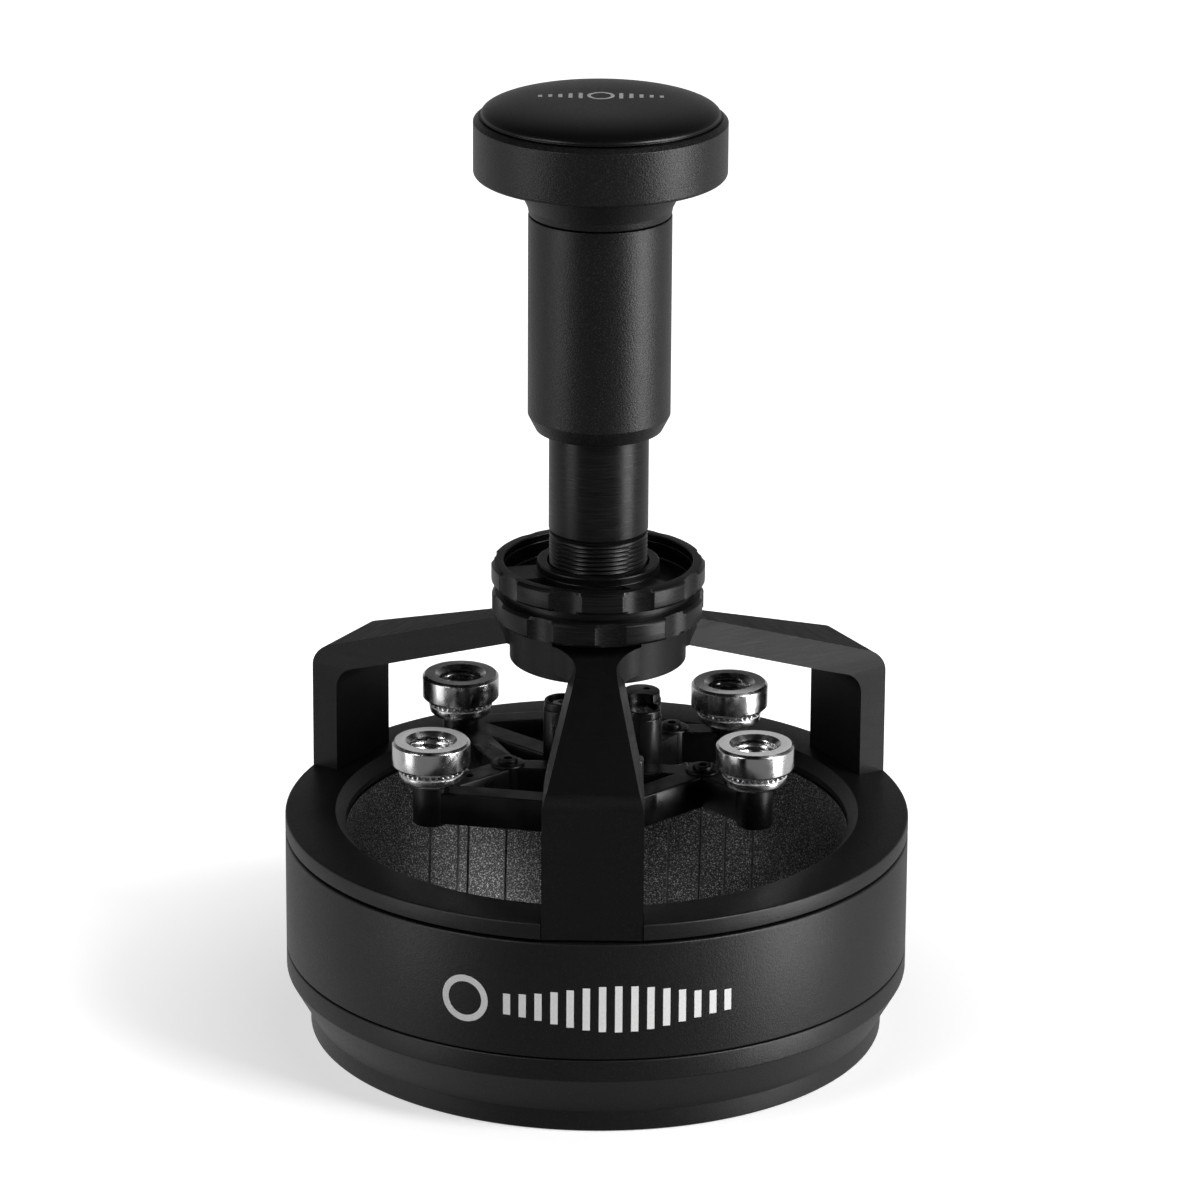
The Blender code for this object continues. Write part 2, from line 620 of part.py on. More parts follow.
def truss_bar(start, end, width=BAR_WALL):
    a, b = Vector(start), Vector(end)
    length = (b - a).length
    bar = box("truss_bar", (0, -width / 2, TRUSS_BOTTOM), (length, width / 2, TRUSS_TOP))
    bar.location = (a.x * MM, a.y * MM, 0)
    bar.rotation_euler = (0, 0, math.atan2(b.y - a.y, b.x - a.x))
    return bar


def needle_places():
    posts = [LEFT_FRONT, LEFT_BACK, RIGHT_BACK, RIGHT_FRONT]
    return posts + [LEFT_EYE, LEFT_BOSS, RIGHT_BACK_BOSS, RIGHT_BOSS, FRONT_CORNER]


def carrier():
    """A moulded truss round a hub, with four posts, three bosses and three towers standing on it."""
    hub = rod("carrier", CARRIER_HUB_R, TRUSS_BOTTOM, CARRIER_HUB_TOP, "black_plastic", SMALL)
    centre = (0.0, 0.0)

    def join(other):
        boolean(hub, other, "UNION", "MANIFOLD")

    def drill(radius, bottom, top, steps, place=centre):
        boolean(hub, rod("drill", radius, bottom, top, None, steps, place), solver="MANIFOLD")

    for start, end in (
        (LEFT_FRONT, FRONT_CORNER),
        (FRONT_CORNER, RIGHT_CORNER),
        (RIGHT_CORNER, RIGHT_BOSS),
        (RIGHT_BOSS, RIGHT_FRONT),
        (centre, RIGHT_BOSS),
        (centre, RIGHT_BACK_BOSS),
        (RIGHT_BACK_BOSS, RIGHT_BACK),
        (centre, LEFT_BACK),
        (LEFT_BACK, BACK_CORNER),
        (BACK_CORNER, centre),
        (LEFT_BACK, LEFT_BOSS),
        (LEFT_BOSS, LEFT_FRONT),
        (centre, LEFT_BOSS),
        (centre, FRONT_CORNER),
    ):
        join(truss_bar(start, end))
    for place in (FRONT_CORNER, RIGHT_CORNER, BACK_CORNER):
        join(rod("corner", BAR_WALL / 2, TRUSS_BOTTOM, TRUSS_TOP, None, 12, place))
    for place in (LEFT_BOSS, RIGHT_BACK_BOSS, RIGHT_BOSS):
        join(rod("boss", BOSS_R, TRUSS_BOTTOM, BOSS_TOP, None, 12, place))
    for place in (LEFT_FRONT, LEFT_BACK, RIGHT_BACK, RIGHT_FRONT):
        join(rod("post", POST_R, POST_BOTTOM, POST_TOP, None, 12, place))
    towers = ((LEFT_TOWER, LEFT_TOWER_TOP), (RIGHT_TOWER, RIGHT_TOWER_TOP), (RIGHT_DISH, RIGHT_DISH_TOP))
    for place, top in towers:
        join(rod("tower", TOWER_R, TRUSS_BOTTOM, top, None, 12, place))
    for place in (LEFT_TOWER, RIGHT_DISH):
        drill(TOWER_HOLE_R, TOWER_HOLE_BOTTOM, 40, TINY, place)
    drill(TOWER_HOLE_R, PIN_SHANK_BOTTOM - GAP, 40, TINY, FRONT_PIN)
    drill(SOCKET_R, SOCKET_FLOOR, 40, SMALL)
    drill(CARRIER_TAP_R, 20, SOCKET_FLOOR + 1, TINY)
    for place in needle_places():
        drill(NEEDLE_HOLE_R, 20, NEEDLE_TOP + GAP, TINY, place)


def tower_fasteners():
    towers = ((LEFT_TOWER, LEFT_TOWER_TOP), (RIGHT_DISH, RIGHT_DISH_TOP))
    for k, (place, top) in enumerate(towers, 1):
        rod(f"tower_screw_{k}", TOWER_SCREW_R, TOWER_SCREW_BOTTOM, top - SUNK, "steel", TINY, place)
    head = (TOWER_R, TRUSS_TOP + GAP, FRONT_PIN_TOP)
    headed_screw("front_pin", *head, TOWER_SCREW_R, PIN_SHANK_BOTTOM, FRONT_PIN)


def needle_nuts():
    """Self-clinching nuts: a toothed collar below, a chamfered body and a tapped hole."""
    profile = [
        (NUT_HOLE_R + NUT_CHAMFER, CLINCH_TOP),
        (NUT_BODY_R - NUT_CHAMFER, CLINCH_TOP),
        (NUT_BODY_R, CLINCH_TOP - NUT_CHAMFER),
        (NUT_BODY_R, CLINCH_SHOULDER + NUT_CHAMFER / 2),
        (NUT_BODY_R - NUT_CHAMFER / 2, CLINCH_SHOULDER),
        (NUT_COLLAR_R, CLINCH_SHOULDER),
        (NUT_COLLAR_R, CLINCH_BOTTOM),
        (NUT_HOLE_R, CLINCH_BOTTOM),
        (NUT_HOLE_R, CLINCH_TOP - NUT_CHAMFER),
    ]
    places = (LEFT_FRONT, LEFT_BACK, RIGHT_BACK, RIGHT_FRONT)
    for name, place in zip(("left_front", "left_back", "right_back", "right_front"), places):
        turned(f"needle_nut_{name}", profile, "chrome", 20, place)


def needles():
    for k, place in enumerate(needle_places(), 1):
        point = NEEDLE_TIP + NEEDLE_POINT
        profile = [(0, NEEDLE_TOP), (NEEDLE_R, NEEDLE_TOP), (NEEDLE_R, point), (0, NEEDLE_TIP)]
        turned(f"needle_{k}", profile, "steel", 6, place)


# ---------------------------------------------------------------- assembly

BODIES = {
    "depth_ring_axis": (DEPTH_BOTTOM, ("depth_ring",)),
    "lock_ring_axis": (LOCK_BOTTOM, ("lock_ring",)),
    "stem_slide": (TUBE_BOTTOM, ("guide_tube", "lower_bush", "drive_nut", "return_spring")),
    "handle_slide": (
        SLEEVE_BOTTOM,
        ("knob", "knob_cap", "sleeve", "sleeve_bush", "bearing_outer_race"),
    ),
    "rotor_axis": (
        TRUSS_BOTTOM,
        ("spindle", "spindle_screw", "bearing_inner_race", "spring_washer", "carrier"),
    ),
}
ROTOR_FAMILIES = ("carrier_screw", "tower_screw", "front_pin", "needle")


def parent_to_axes():
    """Each moving piece hangs from an empty on its joint's axis, at its own place."""
    parts = bpy.data.collections["press_to_spin_needle_tool"].objects
    for name, (height, members) in BODIES.items():
        axis = bpy.data.objects.new(name, None)
        axis.location = (0, 0, height * MM)
        bpy.data.collections["press_to_spin_needle_tool"].objects.link(axis)
        bpy.context.view_layer.update()
        for part in list(parts):
            rotor_piece = name == "rotor_axis" and part.name.startswith(ROTOR_FAMILIES)
            if part.name in members or rotor_piece:
                part.parent = axis
                part.matrix_parent_inverse = axis.matrix_world.inverted()


def settle_shapes():
    """Applies every modifier, then shades round faces smooth and keeps real edges sharp."""
    for part in bpy.data.collections["press_to_spin_needle_tool"].objects:
        if part.type != "MESH":
            continue
        mesh = mesh_of(part)
        part.modifiers.clear()
        part.data = mesh
        mesh.shade_smooth()
        mesh.set_sharp_from_angle(angle=math.radians(30))


def main():
    start_scene()
    base_ring()
    body_shell()
    top_ring()
    arch_frame()
    for k, place in enumerate(leg_screw_places(), 1):
        cap_screw(f"leg_screw_{k}", place, LEG_SCREW_TOP)
    for k, place in enumerate(flange_screw_places(), 1):
        cap_screw(f"flange_screw_{k}", place, FLANGE_SCREW_TOP)
    key_screw()
    depth_ring()
    lock_ring()
    guide_tube()
    tube("lower_bush", BUSH_BORE_R, INSERT_R, BUSH_BOTTOM, BUSH_TOP, "bush_polymer", SMALL)
    drive_nut()
    return_spring()
    sleeve()
    knob()
    knob_cap()
    bearing()
    spindle()
    headed_screw("spindle_screw", *SPINDLE_SCREW)
    headed_screw("carrier_screw", *CARRIER_SCREW)
    carrier()
    tower_fasteners()
    needle_nuts()
    needles()
    settle_shapes()
    parent_to_axes()


main()
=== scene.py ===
"""The look of the press-to-spin needle tool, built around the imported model.

Shapes are drawn in millimetres in the model's own frame: Z is the turning axis, z = 0 is the rim
that the tool stands on, and the front leg of the arch points along -Y.
"""

import json
import math

import bmesh
import bpy
from mathutils import Matrix, Vector


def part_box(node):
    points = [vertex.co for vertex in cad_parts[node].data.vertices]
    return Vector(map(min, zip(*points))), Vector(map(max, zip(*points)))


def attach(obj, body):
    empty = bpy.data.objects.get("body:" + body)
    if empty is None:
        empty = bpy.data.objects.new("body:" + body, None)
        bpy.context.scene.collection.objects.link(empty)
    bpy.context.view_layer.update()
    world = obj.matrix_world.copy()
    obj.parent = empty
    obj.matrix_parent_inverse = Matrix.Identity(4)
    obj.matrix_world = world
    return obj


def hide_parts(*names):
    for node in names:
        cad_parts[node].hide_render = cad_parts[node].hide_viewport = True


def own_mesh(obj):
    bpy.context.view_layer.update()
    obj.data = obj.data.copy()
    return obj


MM = 0.001
TURN = 2 * math.pi
LARGE, MEDIUM, SMALL = 192, 128, 64  # facets round a turned piece

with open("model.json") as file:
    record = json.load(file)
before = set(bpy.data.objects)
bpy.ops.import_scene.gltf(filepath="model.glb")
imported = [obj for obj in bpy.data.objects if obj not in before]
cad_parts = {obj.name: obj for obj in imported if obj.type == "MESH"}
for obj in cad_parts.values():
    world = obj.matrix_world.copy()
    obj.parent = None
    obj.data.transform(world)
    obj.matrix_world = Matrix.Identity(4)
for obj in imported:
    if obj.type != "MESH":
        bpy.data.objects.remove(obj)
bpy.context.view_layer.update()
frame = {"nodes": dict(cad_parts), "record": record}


def span(node):
    """The lowest and highest z of a CAD node, in millimetres."""
    low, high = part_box(node)
    return low.z / MM, high.z / MM


def radius_of(node):
    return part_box(node)[1].x / MM


# ---------------------------------------------------------------- driving sizes, from the frame

BODY_R = radius_of("body_shell")
BORE_R = 28.2
MOUTH_R = 29.35
FLANGE_BOTTOM, FLANGE_TOP = span("top_ring")
SHELL_BOTTOM, SHELL_TOP = span("body_shell")
HUB_R, HUB_FILLET = 9.82, 5.0
HUB_BOTTOM = span("arch_frame")[0] + 20.2
HUB_TOP = span("depth_ring")[0] - 0.3
LEG_R, LEG_THICKNESS, LEG_WIDTH = 34.4, 3.2, 11.0
LEG_FOOT = span("arch_frame")[0]
ARM_ANGLES = (-90.7, 29.3, 149.3)
ARM_TOP_AT_AXIS, ARM_SLOPE, ARM_THICKNESS, ARM_INNER_R = 50.26, 0.3156, 3.15, 8.0
WAIST_FROM, WAIST_AT, WAIST_WIDTH = 38.6, 46.2, 4.3
STEM_BORE_R = 5.65
TUBE_R = radius_of("guide_tube")
TUBE_BORE_R = 4.3
THREAD_TOP, THREAD_PITCH, THREAD_DEPTH = 58.4, 0.5, 0.2
SCALLOPS, SCALLOP_R, SCALLOP_AT = 9, 4.92, 16.27
TRUSS_BOTTOM, TRUSS_TOP, BAR_WALL = 26.6, 30.3, 3.0
POSTS = {
    "left_front": (-18.4, -7.1),
    "left_back": (-15.6, 14.5),
    "right_back": (15.0, 12.1),
    "right_front": (17.5, -7.5),
}


# ---------------------------------------------------------------- shape tools


def add(name, mesh, body=None, finish=None, replaces=()):
    obj = bpy.data.objects.new(name, mesh)
    bpy.context.scene.collection.objects.link(obj)
    if finish:
        mesh.materials.clear()
        mesh.materials.append(finish)
    if body:
        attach(obj, body)
        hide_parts(*replaces)
    return obj


def shade(mesh, angle=32):
    mesh.shade_smooth()
    mesh.set_sharp_from_angle(angle=math.radians(angle))
    return mesh


def rounded(corners, steps=5):
    """An outline whose (x, y, radius) corners are replaced by arcs."""
    outline = []
    for i, (x, y, radius) in enumerate(corners):
        corner = Vector((x, y))
        back = Vector(corners[i - 1][:2]) - corner
        ahead = Vector(corners[(i + 1) % len(corners)][:2]) - corner
        if not radius:
            outline.append((x, y))
            continue
        back.normalize()
        ahead.normalize()
        half = back.angle(ahead) / 2
        centre = corner + (back + ahead).normalized() * radius / math.sin(half)
        first = corner + back * radius / math.tan(half) - centre
        last = corner + ahead * radius / math.tan(half) - centre
        sweep = first.angle_signed(last)
        for k in range(steps + 1):
            turn = Matrix.Rotation(-sweep * k / steps, 2)
            outline.append(tuple(centre + turn @ first))
    return outline


def revolved(profile, steps=MEDIUM, wall=None):
    """A mesh turned about Z from a (radius, height) profile that runs down its outer side.

    A profile with both ends on the axis is closed by it, and any other closes on itself.
    wall(radius, height, angle) may move a point's radius.
    """
    shape = bmesh.new()
    rings = []
    for r, z in profile:
        if r == 0:
            rings.append([shape.verts.new((0, 0, z * MM))] * steps)
            continue
        ring = []
        for k in range(steps):
            angle = TURN * k / steps
            radius = (wall(r, z, angle) if wall else r) * MM
            ring.append(shape.verts.new((radius * math.cos(angle), radius * math.sin(angle), z * MM)))
        rings.append(ring)
    lower_rings = rings[1:] if profile[0][0] == 0 else rings[1:] + rings[:1]
    for upper, lower in zip(rings, lower_rings):
        for k in range(steps):
            n = (k + 1) % steps
            corners = list(dict.fromkeys((upper[k], lower[k], lower[n], upper[n])))
            if len(corners) > 2:
                shape.faces.new(corners)
    bmesh.ops.recalc_face_normals(shape, faces=shape.faces)
    mesh = bpy.data.meshes.new("turned")
    shape.to_mesh(mesh)
    shape.free()
    return shade(mesh)


def moved(mesh, x=0.0, y=0.0, z=0.0, turn=0.0):
    mesh.transform(Matrix.Translation((x * MM, y * MM, z * MM)) @ Matrix.Rotation(turn, 4, "Z"))
    return mesh


def plate(outline, thickness):
    """A mesh with a closed outline in the XY plane, as thick above the plane as below it."""
    shape = bmesh.new()
    face = shape.faces.new([shape.verts.new((x * MM, y * MM, -thickness / 2 * MM)) for x, y in outline])
    top = bmesh.ops.extrude_face_region(shape, geom=[face])["geom"]
    lifted = [v for v in top if isinstance(v, bmesh.types.BMVert)]
    bmesh.ops.translate(shape, verts=lifted, vec=(0, 0, thickness * MM))
    bmesh.ops.recalc_face_normals(shape, faces=shape.faces)
    mesh = bpy.data.meshes.new("plate")
    shape.to_mesh(mesh)
    shape.free()
    return mesh


def block(low, high):
    outline = [(low[0], low[1]), (high[0], low[1]), (high[0], high[1]), (low[0], high[1])]
    return moved(plate(outline, high[2] - low[2]), z=(low[2] + high[2]) / 2)


def rod_mesh(radius, bottom, top, place=(0.0, 0.0), steps=SMALL, soften=0.0):
    profile = [(0, top), (radius, top), (radius, bottom), (0, bottom)]
    if soften:
        profile = rounded([(0, top, 0), (radius, top, soften), (radius, bottom, soften), (0, bottom, 0)], 3)
    return moved(revolved(profile, steps), *place)


def tube_mesh(inner, outer, bottom, top, soften=0.15, steps=MEDIUM):
    corners = [(inner, top, soften), (outer, top, soften), (outer, bottom, soften), (inner, bottom, soften)]
    return revolved(rounded(corners, 3), steps)


def combined(base, steps):
    """The mesh left when each (operation, solver, mesh) step has been applied to the base mesh."""
    obj = add("combining", base)
    helpers = []
    for operation, solver, mesh in steps:
        helper = add("helper", mesh)
        helper.hide_render = True
        modifier = obj.modifiers.new("step", "BOOLEAN")
        modifier.operation, modifier.solver, modifier.object = operation, solver, helper
        helpers.append(helper)
    result = evaluated(obj)
    for helper in helpers + [obj]:
        bpy.data.objects.remove(helper)
    return result


def evaluated(obj):
    bpy.context.view_layer.update()
    graph = bpy.context.evaluated_depsgraph_get()
    return bpy.data.meshes.new_from_object(obj.evaluated_get(graph))


def bevelled(mesh, width, angle=35, segments=2):
    obj = add("bevelling", mesh)
    modifier = obj.modifiers.new("bevel", "BEVEL")
    modifier.width = width * MM
    modifier.segments = segments
    modifier.limit_method = "ANGLE"
    modifier.angle_limit = math.radians(angle)
    modifier.miter_outer = "MITER_ARC"
    result = evaluated(obj)
    bpy.data.objects.remove(obj)
    return result


# ---------------------------------------------------------------- materials


def wired(tree, kind, links=(), **values):
    """A new node whose inputs are set from plain values or joined to other nodes' outputs."""
    made = tree.nodes.new(kind)
    for key, value in values.items():
        setattr(made, key, value)
    for socket, source in dict(links).items():
        if isinstance(source, (int, float, tuple)):
            made.inputs[socket].default_value = source
        else:
            tree.links.new(source, made.inputs[socket])
    return made


class Nodes:
    """A Principled material with short calls for the nodes that feed it."""

    def __init__(self, name, colour, metallic, roughness, **values):
        self.material = bpy.data.materials.new(name)
        self.material.use_nodes = True
        self.tree = self.material.node_tree
        self.shader = self.tree.nodes["Principled BSDF"]
        self.set(self.shader, {"Base Color": (*colour, 1.0), "Metallic": metallic, "Roughness": roughness})
        self.set(self.shader, values)

    def set(self, node, values):
        for key, value in values.items():
            node.inputs[key].default_value = value

    def node(self, kind, links=(), **values):
        return wired(self.tree, kind, links, **values)

    def point(self):
        return self.node("ShaderNodeTexCoord").outputs["Object"]

    def noise(self, vector, scale, detail=2.0, roughness=0.5):
        links = {"Vector": vector, "Scale": scale, "Detail": detail, "Roughness": roughness}
        return self.node("ShaderNodeTexNoise", links).outputs["Fac"]

    def maths(self, operation, a, b=0.0):
        return self.node("ShaderNodeMath", {0: a, 1: b}, operation=operation).outputs[0]

    def span(self, value, low, high, to_low, to_high):
        links = {"Value": value, "From Min": low, "From Max": high, "To Min": to_low, "To Max": to_high}
        return self.node("ShaderNodeMapRange", links).outputs["Result"]

    def mix_colour(self, factor, a, b):
        mix = self.node("ShaderNodeMix", data_type="RGBA")
        self.tree.links.new(factor, mix.inputs["Factor"])
        mix.inputs[6].default_value = (*a, 1.0)
        mix.inputs[7].default_value = (*b, 1.0)
        return mix.outputs[2]

    def bump(self, height, depth, strength, under=None):
        """A bump whose height, 0 to 1, stands for depth in millimetres."""
        links = {"Height": height, "Distance": depth * MM, "Strength": strength}
        if under:
            links["Normal"] = under
        return self.node("ShaderNodeBump", links).outputs["Normal"]

    def drive(self, socket, source):
        self.tree.links.new(source, self.shader.inputs[socket])

    def turned_point(self, across, along):
        """A point whose first two axes are radius and height, and whose third creeps round the axis."""
        parts = self.node("ShaderNodeSeparateXYZ", {0: self.point()}).outputs
        squares = self.maths("ADD", self.maths("POWER", parts[0], 2.0), self.maths("POWER", parts[1], 2.0))
        radius = self.maths("SQRT", squares)
        angle = self.maths("ARCTAN2", parts[1], parts[0])
        scaled = (
            self.maths("MULTIPLY", radius, across),
            self.maths("MULTIPLY", parts[2], across),
            self.maths("MULTIPLY", angle, along),
        )
        return self.node("ShaderNodeCombineXYZ", dict(enumerate(scaled))).outputs[0]


def turned_bore(name, colour, sparkle, roughness):
    """Worn anodising on a turned bore: fine rings spread a highlight up and down, not round."""
    values = {"Specular IOR Level": 0.5, "Anisotropic": 0.9, "Anisotropic Rotation": 0.25}
    m = Nodes(name, colour, 1.0, roughness, **values)
    grain = m.noise(m.point(), 5200.0, 3.0, 0.6)
    specks = m.span(m.noise(m.point(), 6500.0, 1.0), 0.52, 0.7, 0.0, 1.0)
    m.drive("Base Color", m.mix_colour(specks, colour, sparkle))
    m.drive("Normal", m.bump(grain, 0.008, 0.5))
    m.drive("Tangent", m.node("ShaderNodeTangent", direction_type="RADIAL", axis="Z").outputs["Tangent"])
    return m.material


def blasted(name, colour, sparkle, roughness, depth=0.02):
    """Bead-blasted black anodising: a fine satin grain with a few brighter specks."""
    m = Nodes(name, colour, 0.0, roughness, **{"Specular IOR Level": 0.5})
    grain = m.noise(m.point(), 4600.0, 3.0, 0.6)
    specks = m.span(m.noise(m.point(), 8200.0, 1.0), 0.56, 0.72, 0.0, 1.0)
    wide = m.noise(m.point(), 90.0, 3.0)
    m.drive("Base Color", m.mix_colour(specks, colour, sparkle))
    grain_rough = m.span(grain, 0.3, 0.7, roughness - 0.05, roughness + 0.06)
    rough = m.maths("ADD", grain_rough, m.span(wide, 0.3, 0.7, -0.02, 0.02))
    m.drive("Roughness", rough)
    m.drive("Normal", m.bump(grain, depth, 0.7))
    return m.material


def turned(name, colour, roughness, lines=9000.0, depth=0.006):
    """Turned black anodising: fine grooves that follow the tool round the axis."""
    m = Nodes(name, colour, 0.0, roughness, **{"Specular IOR Level": 0.32})
    grooves = m.noise(m.turned_point(lines, 1.6), 1.0, 3.0, 0.7)
    grain = m.noise(m.point(), 7000.0, 2.0)
    m.drive("Roughness", m.span(grooves, 0.3, 0.7, roughness - 0.08, roughness + 0.1))
    ridge = tuple(5.0 * c for c in colour)
    m.drive("Base Color", m.mix_colour(m.span(grooves, 0.45, 0.75, 0.0, 1.0), colour, ridge))
    m.drive("Normal", m.bump(grooves, depth, 0.7, m.bump(grain, 0.004, 0.3)))
    return m.material


def milled(name, colour, roughness):
    """Milled black anodising: a blasted grain over faint level tool marks."""
    m = Nodes(name, colour, 0.0, roughness, **{"Specular IOR Level": 0.24})
    stretch = m.node("ShaderNodeVectorMath", {0: m.point(), 1: (260.0, 260.0, 9000.0)}, operation="MULTIPLY")
    marks = m.noise(stretch.outputs[0], 1.0, 3.0, 0.65)
    grain = m.noise(m.point(), 5600.0, 3.0, 0.6)
    specks = m.span(m.noise(m.point(), 8200.0, 1.0), 0.58, 0.74, 0.0, 1.0)
    m.drive("Base Color", m.mix_colour(specks, colour, tuple(3.0 * c for c in colour)))
    m.drive("Roughness", m.span(marks, 0.3, 0.7, roughness - 0.06, roughness + 0.08))
    m.drive("Normal", m.bump(marks, 0.004, 0.5, m.bump(grain, 0.009, 0.5)))
    return m.material


def plated(name, colour, roughness, metallic=1.0):
    """Bright plating over a turned nut, with the faint rings of the bar lathe."""
    m = Nodes(name, colour, metallic, roughness)
    stretch = m.node("ShaderNodeVectorMath", {0: m.point(), 1: (300.0, 300.0, 7000.0)}, operation="MULTIPLY")
    rings = m.noise(stretch.outputs[0], 1.0, 2.0)
    haze = m.noise(m.point(), 900.0, 3.0)
    m.drive("Roughness", m.span(haze, 0.3, 0.75, roughness * 0.7, roughness * 1.7))
    m.drive("Normal", m.bump(rings, 0.0016, 0.35))
    return m.material


def moulded(name, colour, roughness):
    """Glass-filled black plastic: a slightly uneven, glossy skin."""
    m = Nodes(name, colour, 0.0, roughness, **{"Specular IOR Level": 0.5})
    skin = m.noise(m.point(), 1500.0, 4.0, 0.6)
    swirl = m.noise(m.point(), 260.0, 3.0)
    m.drive("Roughness", m.span(swirl, 0.3, 0.7, roughness - 0.1, roughness + 0.14))
    m.drive("Normal", m.bump(skin, 0.03, 0.6))
    return m.material


def drawn(name, colour, roughness, metallic=1.0):
    m = Nodes(name, colour, metallic, roughness)
    streaks = m.noise(m.turned_point(5000.0, 1.0), 1.0, 2.0)
    m.drive("Roughness", m.span(streaks, 0.3, 0.7, roughness * 0.8, roughness * 1.3))
    m.drive("Normal", m.bump(streaks, 0.003, 0.4))
    return m.material


def printed(name, colour):
    m = Nodes(name, colour, 0.0, 0.5)
    ink = m.noise(m.point(), 3500.0, 3.0)
    thin_ink = tuple(0.93 * c for c in colour)
    m.drive("Base Color", m.mix_colour(m.span(ink, 0.35, 0.65, 0.0, 1.0), thin_ink, colour))
    m.drive("Normal", m.bump(ink, 0.004, 0.3))
    return m.material


BODY_BLACK = blasted("black_anodised", (0.003, 0.003, 0.0032), (0.015, 0.015, 0.0154), 0.42, 0.035)
BORE_BLACK = turned_bore("black_anodised_bore", (0.16, 0.16, 0.162), (1.0, 1.0, 1.0), 0.64)
HANDLE_BLACK = blasted("black_anodised_handle", (0.003, 0.003, 0.0032), (0.026, 0.026, 0.027), 0.38, 0.06)
CAP_BLACK = blasted("black_anodised_cap", (0.003, 0.003, 0.0032), (0.008, 0.008, 0.0084), 0.34, 0.006)
RING_BLACK = turned("turned_black", (0.003, 0.003, 0.0032), 0.32)
ARCH_BLACK = milled("milled_black", (0.0055, 0.0055, 0.0057), 0.42)
CHROME = plated("chrome", (0.8, 0.8, 0.81), 0.19)
# The nuts' faced tops, given painted sheen: a pale, barely metallic copy of the chrome that makes them light
# where real chrome would only reflect.
CHROME_FACED_PAINTED_SHEEN = plated("chrome_faced_painted_sheen", (0.95, 0.95, 0.96), 0.36, 0.15)
PLASTIC = moulded("black_plastic", (0.002, 0.002, 0.0021), 0.34)
STEEL = drawn("steel", (0.5, 0.5, 0.51), 0.26)
NEEDLE_STEEL = drawn("needle_steel", (0.35, 0.35, 0.36), 0.3)
POLYMER = moulded("bush_polymer", (0.62, 0.6, 0.54), 0.45)
WHITE_INK = printed("white_ink", (1.0, 1.0, 1.0))
GREY_INK = printed("grey_ink", (0.62, 0.62, 0.62))


# ---------------------------------------------------------------- base


def line_bore(obj):
    """Gives the faces of a base piece that look onto the axis the rougher finish of the bore."""
    obj.data.materials.append(BORE_BLACK)
    for face in obj.data.polygons:
        if math.hypot(*face.center[:2]) < (BORE_R + 0.05) * MM:
            face.material_index = 1


def make_base():
    foot_r, foot_top, cone_top = 32.3, 2.4, 7.1
    base_top, spigot_r, spigot_top = SHELL_BOTTOM - 0.16, 30.4, 14.0
    shell_bottom = SHELL_BOTTOM - 0.02
    base = rounded([
        (BORE_R, spigot_top, 0),
        (spigot_r, spigot_top, 0.1),
        (spigot_r, base_top, 0),
        (BODY_R - 0.02, base_top, 0.22),
        (BODY_R - 0.02, cone_top, 0.5),
        (foot_r, foot_top, 0.5),
        (foot_r, 0, 0.3),
        (BORE_R, 0, 0.3),
    ])
    mesh = revolved(base, LARGE)
    line_bore(add("base_ring_fine", mesh, "base", BODY_BLACK, ["base_ring"]))
    shell = rounded([
        (BORE_R, SHELL_TOP, 0),
        (BODY_R - 0.02, SHELL_TOP, 0.3),
        (BODY_R - 0.02, shell_bottom, 0.18),
        (spigot_r + 0.3, shell_bottom, 0),
        (spigot_r + 0.3, spigot_top + 0.02, 0),
        (BORE_R, spigot_top + 0.02, 0),
    ])
    mesh = revolved(shell, LARGE)
    line_bore(add("body_shell_fine", mesh, "base", BODY_BLACK, ["body_shell"]))
    flange = rounded([
        (MOUTH_R, FLANGE_TOP, 0.12),
        (BODY_R - 0.02, FLANGE_TOP, 0.26),
        (BODY_R - 0.02, FLANGE_BOTTOM, 0.1),
        (BORE_R, FLANGE_BOTTOM, 0),
        (BORE_R, FLANGE_TOP - (MOUTH_R - BORE_R), 0.12),
    ], 4)
    notches = []
    for angle in ARM_ANGLES:
        half = LEG_WIDTH / 2 + 0.07
        low = (LEG_R - LEG_THICKNESS - 0.1, -half, FLANGE_BOTTOM - 2)
        notch = moved(block(low, (BODY_R + 3, half, FLANGE_TOP + 2)), turn=math.radians(angle))
        notches.append(("DIFFERENCE", "EXACT", notch))
    ring = shade(combined(revolved(flange, LARGE), notches))
    add("top_ring_fine", ring, "base", BODY_BLACK, ["top_ring"])


def arm_top(radius):
    return ARM_TOP_AT_AXIS - ARM_SLOPE * radius


def stood_along(mesh, angle):
    """Stands a flat mesh up, so that its X runs out along an arm and its Y runs up."""
    mesh.transform(Matrix.Rotation(math.radians(angle), 4, "Z") @ Matrix.Rotation(TURN / 4, 4, "X"))
    return mesh


def hub_fillets(angle):
    """The plan shape where both sides of an arm's waist curve out to meet the hub."""
    centre_y = WAIST_WIDTH / 2 + HUB_FILLET
    centre_x = math.sqrt((HUB_R + HUB_FILLET) ** 2 - centre_y**2)
    sweep = math.atan2(centre_x, centre_y)
    half = [(ARM_INNER_R, 0.9 * HUB_R * math.cos(sweep))]
    for k in range(15):
        turn = sweep * (1 - k / 14)
        half.append((centre_x - HUB_FILLET * math.sin(turn), centre_y - HUB_FILLET * math.cos(turn)))
    outline = half + [(x, -y) for x, y in reversed(half)]
    return moved(plate(outline, 14.0), z=WAIST_AT, turn=math.radians(angle))


